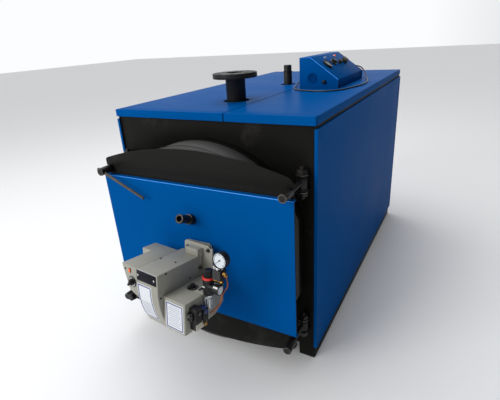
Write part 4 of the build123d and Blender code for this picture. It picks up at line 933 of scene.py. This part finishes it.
# Cable: a limp 7 mm lead that leaves the box's left side, lies on the lid round the box's near
# end, and goes back into its far end through a bush at each hole.
lead_black = finish("lead_black", (0.012, 0.010, 0.009), 0.4, patch=40, grain=900, depth=0.05)
route = (
    (130, 899, 56), (103, 893, 55), (93, 856, 49), (99, 812, 37), (104, 768, 23), (105, 727, 9.5),
    (110, 688, 4.2), (127, 650, 3.9), (162, 620, 3.8), (206, 600, 3.8), (256, 586, 3.8),
    (306, 583, 3.8), (348, 606, 3.8), (376, 650, 3.8), (396, 712, 3.8), (414, 782, 3.8),
    (425, 858, 3.8), (424, 934, 3.8), (412, 1008, 3.8), (394, 1078, 3.9), (374, 1140, 5),
    (360, 1186, 14), (345, 1220, 34), (319, 1238, 57), (292, 1224, 69), (288, 1191.7, 67),
)
lead_points = [Vector((x * MM, y * MM + lid_low, z * MM + deck)) for x, y, z in route]
lead_curve = bpy.data.curves.new("control_lead", "CURVE")
lead_curve.dimensions = "3D"
lead_line = lead_curve.splines.new("NURBS")
lead_line.points.add(len(lead_points) - 1)
for point, place in zip(lead_line.points, lead_points):
    point.co = (*place, 1)
lead_line.order_u = 3
lead_line.use_endpoint_u = True
lead_line.resolution_u = 10
lead_curve.bevel_depth = 0.0035
lead_curve.bevel_resolution = 4
lead_curve.use_fill_caps = True
lead = bpy.data.objects.new("control_lead", lead_curve)
scene.collection.objects.link(lead)
lead_curve.materials.append(lead_black)
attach(lead, "boiler")
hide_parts("control_cable")
bush = [(4.2, 0), (8.5, 0), (8.5, 2), (6.2, 7), (4.8, 12), (4.2, 12)]
near_end, next_on, last_but_one, far_end = lead_points[0], lead_points[1], lead_points[-2], lead_points[-1]
built("lead_bushes", black_plastic,
      (turned_ring, bush, (0.1305, near_end.y, near_end.z), next_on - near_end, 28),
      (turned_ring, bush, (far_end.x, 0.3468, far_end.z), last_but_one - far_end, 28), body="boiler")

# Burner: its own leaning frame, with the origin at the housing's front top right corner.
# The housings are warm grey powder-coated sheet over a cast body, screwed along their edges.
pitch, yaw = radians(8), radians(6)
b_right = Vector((cos(yaw), -sin(yaw), 0))
b_back = Vector((sin(yaw) * cos(pitch), cos(yaw) * cos(pitch), -sin(pitch)))
b_up = Vector((sin(yaw) * sin(pitch), cos(yaw) * sin(pitch), cos(pitch)))
burner_corner = Vector((0.049, -1.273, 0.591))


def on_burner(right, back, up):
    """A point of the burner's own frame."""
    return burner_corner + (b_right * right + b_back * back + b_up * up) * MM


def plate(bm, size, place, depth, edge=0.0, segments=2):
    """Adds a plate that faces forward on the burner: size is width, height and corner radius."""
    prism(bm, rectangle(*size), on_burner(*place), b_right, b_up, depth, edge, segments)


burner_grey = finish("burner_grey", (0.285, 0.28, 0.24), 0.42, shade=0.86, patch=8, grain=650,
                     depth=0.03, stain=((0.2, 0.19, 0.165), 0.66, 18), spread=0.15, specular=0.3)
for name in ("burner_housing", "burner_control_section", "burner_lower_box"):
    finished_copy(name, burner_grey, 2.2, 3)
finished_copy("burner_rear_plate", burner_grey, 1)
finished_copy("burner_flange", burner_grey, 1.5)

display_black = finish("display_black", (0.006, 0.006, 0.011), 0.4, shade=0.7, patch=30, grain=300,
                       depth=0.005, specular=0.08)
built("burner_display", display_black, (plate, (102, 41, 2), (-57, 0, -23.5), 1.2, 0.4))
built("display_windows", mark_white,
      *[(plate, (5, 7, 1), (right, -1.2, up), 0.8, 0.2) for right, up in ((-101, -23), (-17, -24))])
# A pale strip along the display's top: partly the frame's white top edge, partly a painted highlight where
# that edge catches the light.
white_edge_highlight = finish("white_edge_highlight", (0.42, 0.45, 0.52), 0.5, shade=0.97, patch=20, depth=0.01)
built("display_white_edge_highlight", white_edge_highlight, (plate, (100, 3.2, 1), (-56, 0, -3.6), 0.8, 0.2), slot="burner_grey")

label_white = finish("label_white", (0.62, 0.64, 0.67), 0.45, shade=0.97, patch=12, depth=0.01)
label_blue = finish("label_blue", (0.02, 0.025, 0.16), 0.45, shade=0.95, patch=20, depth=0.01)
label_rule = finish("label_rule", (0.24, 0.26, 0.38), 0.5, shade=0.97, patch=20, depth=0.01)


belly_back, belly_up, belly_radius = 314.5970, -64.0677, 315.0070


def on_belly(right, up, lift):
    """A point on the housing's curved front, which is an arc, lifted off it."""
    reach = (belly_radius + lift) ** 2 - (up - belly_up) ** 2
    return on_burner(right, belly_back - reach**0.5, up)


def belly_patch(bm, left, right, top, bottom, lift, rows=16):
    """Adds a thin patch that follows the belly."""
    section = ((left, -0.6), (left, 0), (right, 0), (right, -0.6))
    heights = [top + (bottom - top) * i / rows for i in range(rows + 1)]
    grid = [[bm.verts.new(on_belly(x, height, lift + out)) for x, out in section] for height in heights]
    for low, high in zip(grid, grid[1:]):
        for k in range(3):
            bm.faces.new((low[k], low[k + 1], high[k + 1], high[k]))
    bmesh.ops.recalc_face_normals(bm, faces=bm.faces[:])


built("front_label", label_white, (belly_patch, -108, -34, -56, -206, 0.4), slot="burner_grey")
built("front_label_border", label_blue, *[(belly_patch, *sides, 0.6) for sides in (
    (-105, -37, -59, -63.5), (-105, -37, -198, -202.5), (-105, -100.5, -59, -202.5),
    (-41.5, -37, -59, -202.5),
)], slot="burner_grey")
built("front_label_rules", label_rule, *[
    (belly_patch, -96 + 3 * (row % 2), -48, -128 - 7 * row, -130 - 7 * row, 0.55, 2) for row in range(9)
], slot="burner_grey")
built("side_label", label_white, (plate, (86, 106, 2), (55, 23.8, -152), 0.6), slot="burner_grey")
built("side_label_border", label_blue, *[(plate, size, (x, 23.4, z), 0.4) for size, x, z in (
    ((79, 4.2), 55, -104.5), ((79, 4.2), 55, -200.5), ((4.2, 100), 17.5, -152.5), ((4.2, 100), 92.5, -152.5),
)], slot="burner_grey")
built("side_label_rules", label_rule, *[
    (plate, (62 if row % 3 else 48, 1.6), (55, 23.4, -114 - 7.6 * row), 0.4) for row in range(11)
], slot="burner_grey")

burner_screw = finish("burner_screw", (0.05, 0.05, 0.05), 0.35, metallic=0.8, shade=0.7, patch=90, depth=0.03)
screw_places = [(on_burner(right, back, 0), b_up) for right, back in ((-102, 112), (-30, 120))]
screw_places += [(on_burner(0, back, up), b_right) for back, up in ((41, -6), (12, -92), (165, -74))]
screw_places += [(on_burner(-172, 0, -18), -b_back)]
screws("burner_screws", screw_places, (4.2, 0.5, 3.2, 1.8, 2.4, 0.7), 16, burner_screw)
latch_pin = on_burner(0, 222, -51)
latch_places = [(latch_pin, b_right)]
latch_places += [(on_burner(right, 238, up), -b_back) for right, up in ((30, 24), (-78, 16))]
screws("burner_latch_bolts", latch_places, (8, 1.5, 6.5, 5, 5, 1.2), 6, mark_black)
built("latch_strip", bright_metal,
      (prism, rectangle(4, 58, 1.5), on_burner(0.2, 231, -22), -b_back, b_up, 1.6, 0.5),
      (turned_ring, [(7.5, 0), (12.5, 0), (12.5, 2), (7.5, 2)], latch_pin, b_right, 28), slot="burner_grey")

# Burner controls: an orange lamp in a bezel, a rotary switch with a bar grip on a ringed plate,
# a black dial on the lower box, and a rubber-gripped air adjuster.
built("burner_lamp_bezel", black_plastic, (plate, (11, 17, 2), (-146, 0, -19), 2, 0.6))
built("burner_lamp", lamp_orange, (plate, (8, 14, 1.5), (-146, -1.6, -19), 2.8, 1, 3))
knob_centre = on_burner(-135, -0.3, -62)
knob = built("burner_knob_plate", black_plastic, (
    turned, [(0, 0), (21, 0), (21, 1.8), (19.5, 3), (18, 3), (17.5, 2.4), (0, 2.4)], knob_centre, -b_back,
), body="burner_knob")
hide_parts("burner_knob")
built("burner_knob_ring", bright_metal, (
    turned_ring, [(13.8, 0), (17.4, 0), (17.4, 0.6), (13.8, 0.6)], knob_centre - b_back * 0.0025, -b_back,
), body="burner_knob")
grip_axis = b_right * cos(radians(60)) + b_up * sin(radians(60))
built("burner_knob_grip", black_plastic,
      (turned, [(0, 0), (12.8, 0), (12.8, 5.5), (11.8, 6.8), (0, 6.8)],
       knob_centre - b_back * 0.0024, -b_back, 40),
      (prism, rectangle(24.5, 8.2, 3), knob_centre - b_back * 0.009,
       grip_axis, (-b_back).cross(grip_axis), 10.8, 1.6, 3), body="burner_knob")
dial_marks("burner_switch_marks", on_burner(-135, -0.2, -62), b_right, b_up, 23.5, 2.4, 0.7, 5, 30, 120,
           mark_black, slot="burner_grey")
dial_foot = on_burner(42, 134, -87.7)
dial = built("burner_dial_finished", black_plastic,
             (turned, [(0, 0), (22, 0), (22, 1.6), (20.5, 2.5), (0, 2.5)], dial_foot, b_up),
             (ribbed_knob, dial_foot + b_up * 0.0025, b_up, 9.5, 12.5, 14, 10, 2),
             body="burner_dial", crease=24)
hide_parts("burner_dial")
dial_marks("burner_dial_marks", dial_foot + b_up * 0.0026, b_right, b_back, 17, 3, 0.8, 11, -60, 300,
           mark_white, "burner_dial")
finished_copy("burner_air_adjuster", black_plastic, 1.5, 3)
adjuster_rib = [(12.2, 0), (13.7, 0.5), (13.7, 2.1), (12.2, 2.6)]
built("adjuster_ribs", black_plastic, *[
    (turned_ring, adjuster_rib, on_burner(-152, 33 - 3.9 * i, -134), -b_back, 40) for i in range(9)
], crease=24)

# Air regulator: black body, ribbed knob, red ring, clear bowl in a guard and a small side gauge,
# on a foot screwed to the lower box. A brass elbow carries the valve block and the pressure gauge.
regulator_profile = [
    (0, 0), (17.5, 0), (19.5, 2), (19.5, 13), (20.8, 15), (20.8, 60), (19.5, 62), (19.5, 75), (0, 75),
]
regulator = built(
    "air_regulator_body", black_plastic,
    (turned, regulator_profile, on_burner(124, 130, -85), b_up),
    (turned, [(0, 0), (10.5, 0), (10.5, 33), (13.5, 33), (13.5, 34.5), (0, 34.5)],
     on_burner(124, 121, -47), b_right, 32),
    (turned, [(0, 0), (4.2, 0), (4.2, 18), (3, 21), (0, 21)],
     on_burner(112, 112, -58), -b_right - b_up * 0.7, 20),
    crease=30)
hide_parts("air_regulator")
built("regulator_foot", burner_grey,
      (prism, rectangle(41, 29.5, 3), on_burner(90.5, 130, -87.8), b_right, b_back, 5.8, 1),
      slot="burner_grey")
red_ring = finish("red_ring", (0.62, 0.02, 0.015), 0.35, shade=0.9, patch=60, grain=700)
built("regulator_red_ring", red_ring,
      (turned_ring, [(19, 0), (22.2, 0.6), (22.6, 8.8), (19, 9.4)], on_burner(124, 130, -22.5), b_up, 56))
built("regulator_grip", black_plastic,
      (ribbed_knob, on_burner(124, 130, -13.5), b_up, 16.4, 27, 22, 17.5, 3), crease=24)
bowl_clear = glassy("bowl_clear", (0.62, 0.64, 0.66), 0.12, 0.55)
finished_copy("regulator_bowl", bowl_clear, 2, 4, crease=40)
bm = bmesh.new()
turned_ring(bm, [(13.8, 0), (15.8, 0.5), (15.8, 8.5), (13.8, 9)], on_burner(124, 130, -91), b_up, 44)
for k in range(8):
    angle = radians(45 * k + 10)
    bar_out = b_right * cos(angle) + b_back * sin(angle)
    bar_at = on_burner(124, 130, -116) + bar_out * 0.0143
    prism(bm, rectangle(2.8, 36), bar_at, b_up.cross(bar_out), b_up, 0.9)
show("bowl_guard", bm, bright_metal)
brass = finish("brass", (0.30, 0.165, 0.045), 0.32, metallic=1.0, patch=60, grain=600, depth=0.03)
copper = finish("copper", (0.33, 0.095, 0.035), 0.35, metallic=1.0, shade=0.75, patch=40, grain=600,
                depth=0.03)
built("valve_plate", mark_black, (plate, (33, 37, 3), (174, 113, 11), 0.7))
finished_copy("valve_block", black_plastic, 1.5)
case, face_at = round_gauge(
    "pressure_gauge", on_burner(184, 144, 67.5), b_right, b_up, 30.5, 28, 3.5, dial_white)
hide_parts("pressure_gauges")
built("pressure_gauge_needle", mark_black, (needle, face_at, b_right, b_up, 222, 17, 6, 3.2))

built("gauge_union", bright_metal,
      (turned, [(0, 0), (5.5, 0), (5.5, 9), (0, 9)], on_burner(184, 130, 29), b_up, 24),
      (prism, hexagon(8.5), on_burner(176, 121, 30), b_right, b_back, 9, 0.8),
      (turned, [(0, 0), (6, 0), (6, 12), (4.5, 14), (0, 14)],
       on_burner(162, 121, 29), b_up - b_right * 0.3, 24))
elbow = on_burner(191, 130, 17)
built("brass_fittings", brass,
      (prism, hexagon(9), elbow, b_back, b_up, 7, 0.8),
      (turned, [(0, 6), (6.2, 6), (6.2, 12), (5.2, 14), (0, 14)], elbow, b_right, 24),
      (prism, hexagon(8), on_burner(203, 130, 16), b_right, -b_back, 7, 0.8),
      (prism, hexagon(8.5), on_burner(174, 127, -17), b_right, b_back, 9, 0.8),
      (turned, [(0, 0), (5.8, 0), (5.8, 38), (0, 38)], on_burner(154, 127, -16), b_right, 24),
      (prism, hexagon(7.8), on_burner(186, 127, -16), b_back, b_up, 6, 0.8))
copper_path = [on_burner(*place) for place in (
    (203, 130, 10), (203, 135, -4), (201, 144, -22), (196, 148, -42), (186, 143, -60), (181, 137, -74),
    (182, 131, -88), (179, 130, -102), (173, 130, -114), (164, 129, -124), (152, 125, -141), (143, 118, -151),
)]
built("copper_tube", copper, (tube_through, copper_path, 2.7, 12), crease=60)
round_gauge("side_gauge", on_burner(158, 121, -47), b_back, b_up, 18.5, 30, 3, dial_white)
# A tilted white mark by the side gauge. The small white plate on the regulator's front is a painted
# highlight, a glint on the body.
built("white_mark_and_glint", mark_white,
      (prism, rectangle(20, 6, 1), on_burner(175, 107.4, -34), b_right, b_back * 0.55 + b_up * 0.83, 0.8),
      (plate, (12, 4, 1), (120, 108.2, -48), 1.2))

# Solenoid valves: two moulded coils on brass bodies, one with a blue cap, and a pale bracket.
# They sit on the lower box's right side.
finished_copy("solenoid_valves", black_plastic, 3, 3)
coil_blue = finish("coil_blue", (0.012, 0.035, 0.15), 0.35, shade=0.85, patch=60, grain=600)
pale_bracket = finish("pale_bracket", (0.5, 0.47, 0.38), 0.45, shade=0.85, patch=30, depth=0.03)
built("small_coil_cap", coil_blue,
      (prism, rectangle(30, 24, 4), on_burner(122, 98, -124.6), b_right, b_back, 1.6, 0.6),
      (turned, [(0, 0), (9, 0), (9, 2), (0, 3)], on_burner(138, 98, -136), b_right, 24))
built("coil_ferrules", pale_steel_and_highlight,
      (turned, [(0, 0), (6.5, 0), (6.5, 3.5), (5.5, 4.5), (4, 4.5), (4, 6), (0, 6)],
       on_burner(115, 36, -133), -b_back, 28),
      (turned, [(0, 0), (6, 0), (6, 4), (0, 5)], on_burner(138, 62, -128), b_right, 24))
built("coil_plug", black_plastic,
      (plate, (24, 30, 3), (115, 46.2, -139), 10, 1.5),
      *[(prism, rectangle(29, 2.2), on_burner(138, 62, -124 - 10 * k), b_back, b_up, 0.8) for k in range(4)])
built("solenoid_brass", brass,
      (turned, [(0, 0), (7, 0), (7, 9), (5.5, 11), (0, 11)], on_burner(122, 98, -176), -b_up, 24),
      (prism, hexagon(8.5), on_burner(132, 96, -183), b_back, b_up, 10, 1))
built("solenoid_bracket", pale_bracket,
      (prism, rectangle(59, 30, 3), on_burner(132.1, 80, -181), b_back, b_up, 1.6, 0.5),
      (prism, rectangle(26, 59, 3), on_burner(119, 80, -197.7), b_right, b_back, 1.6, 0.5))
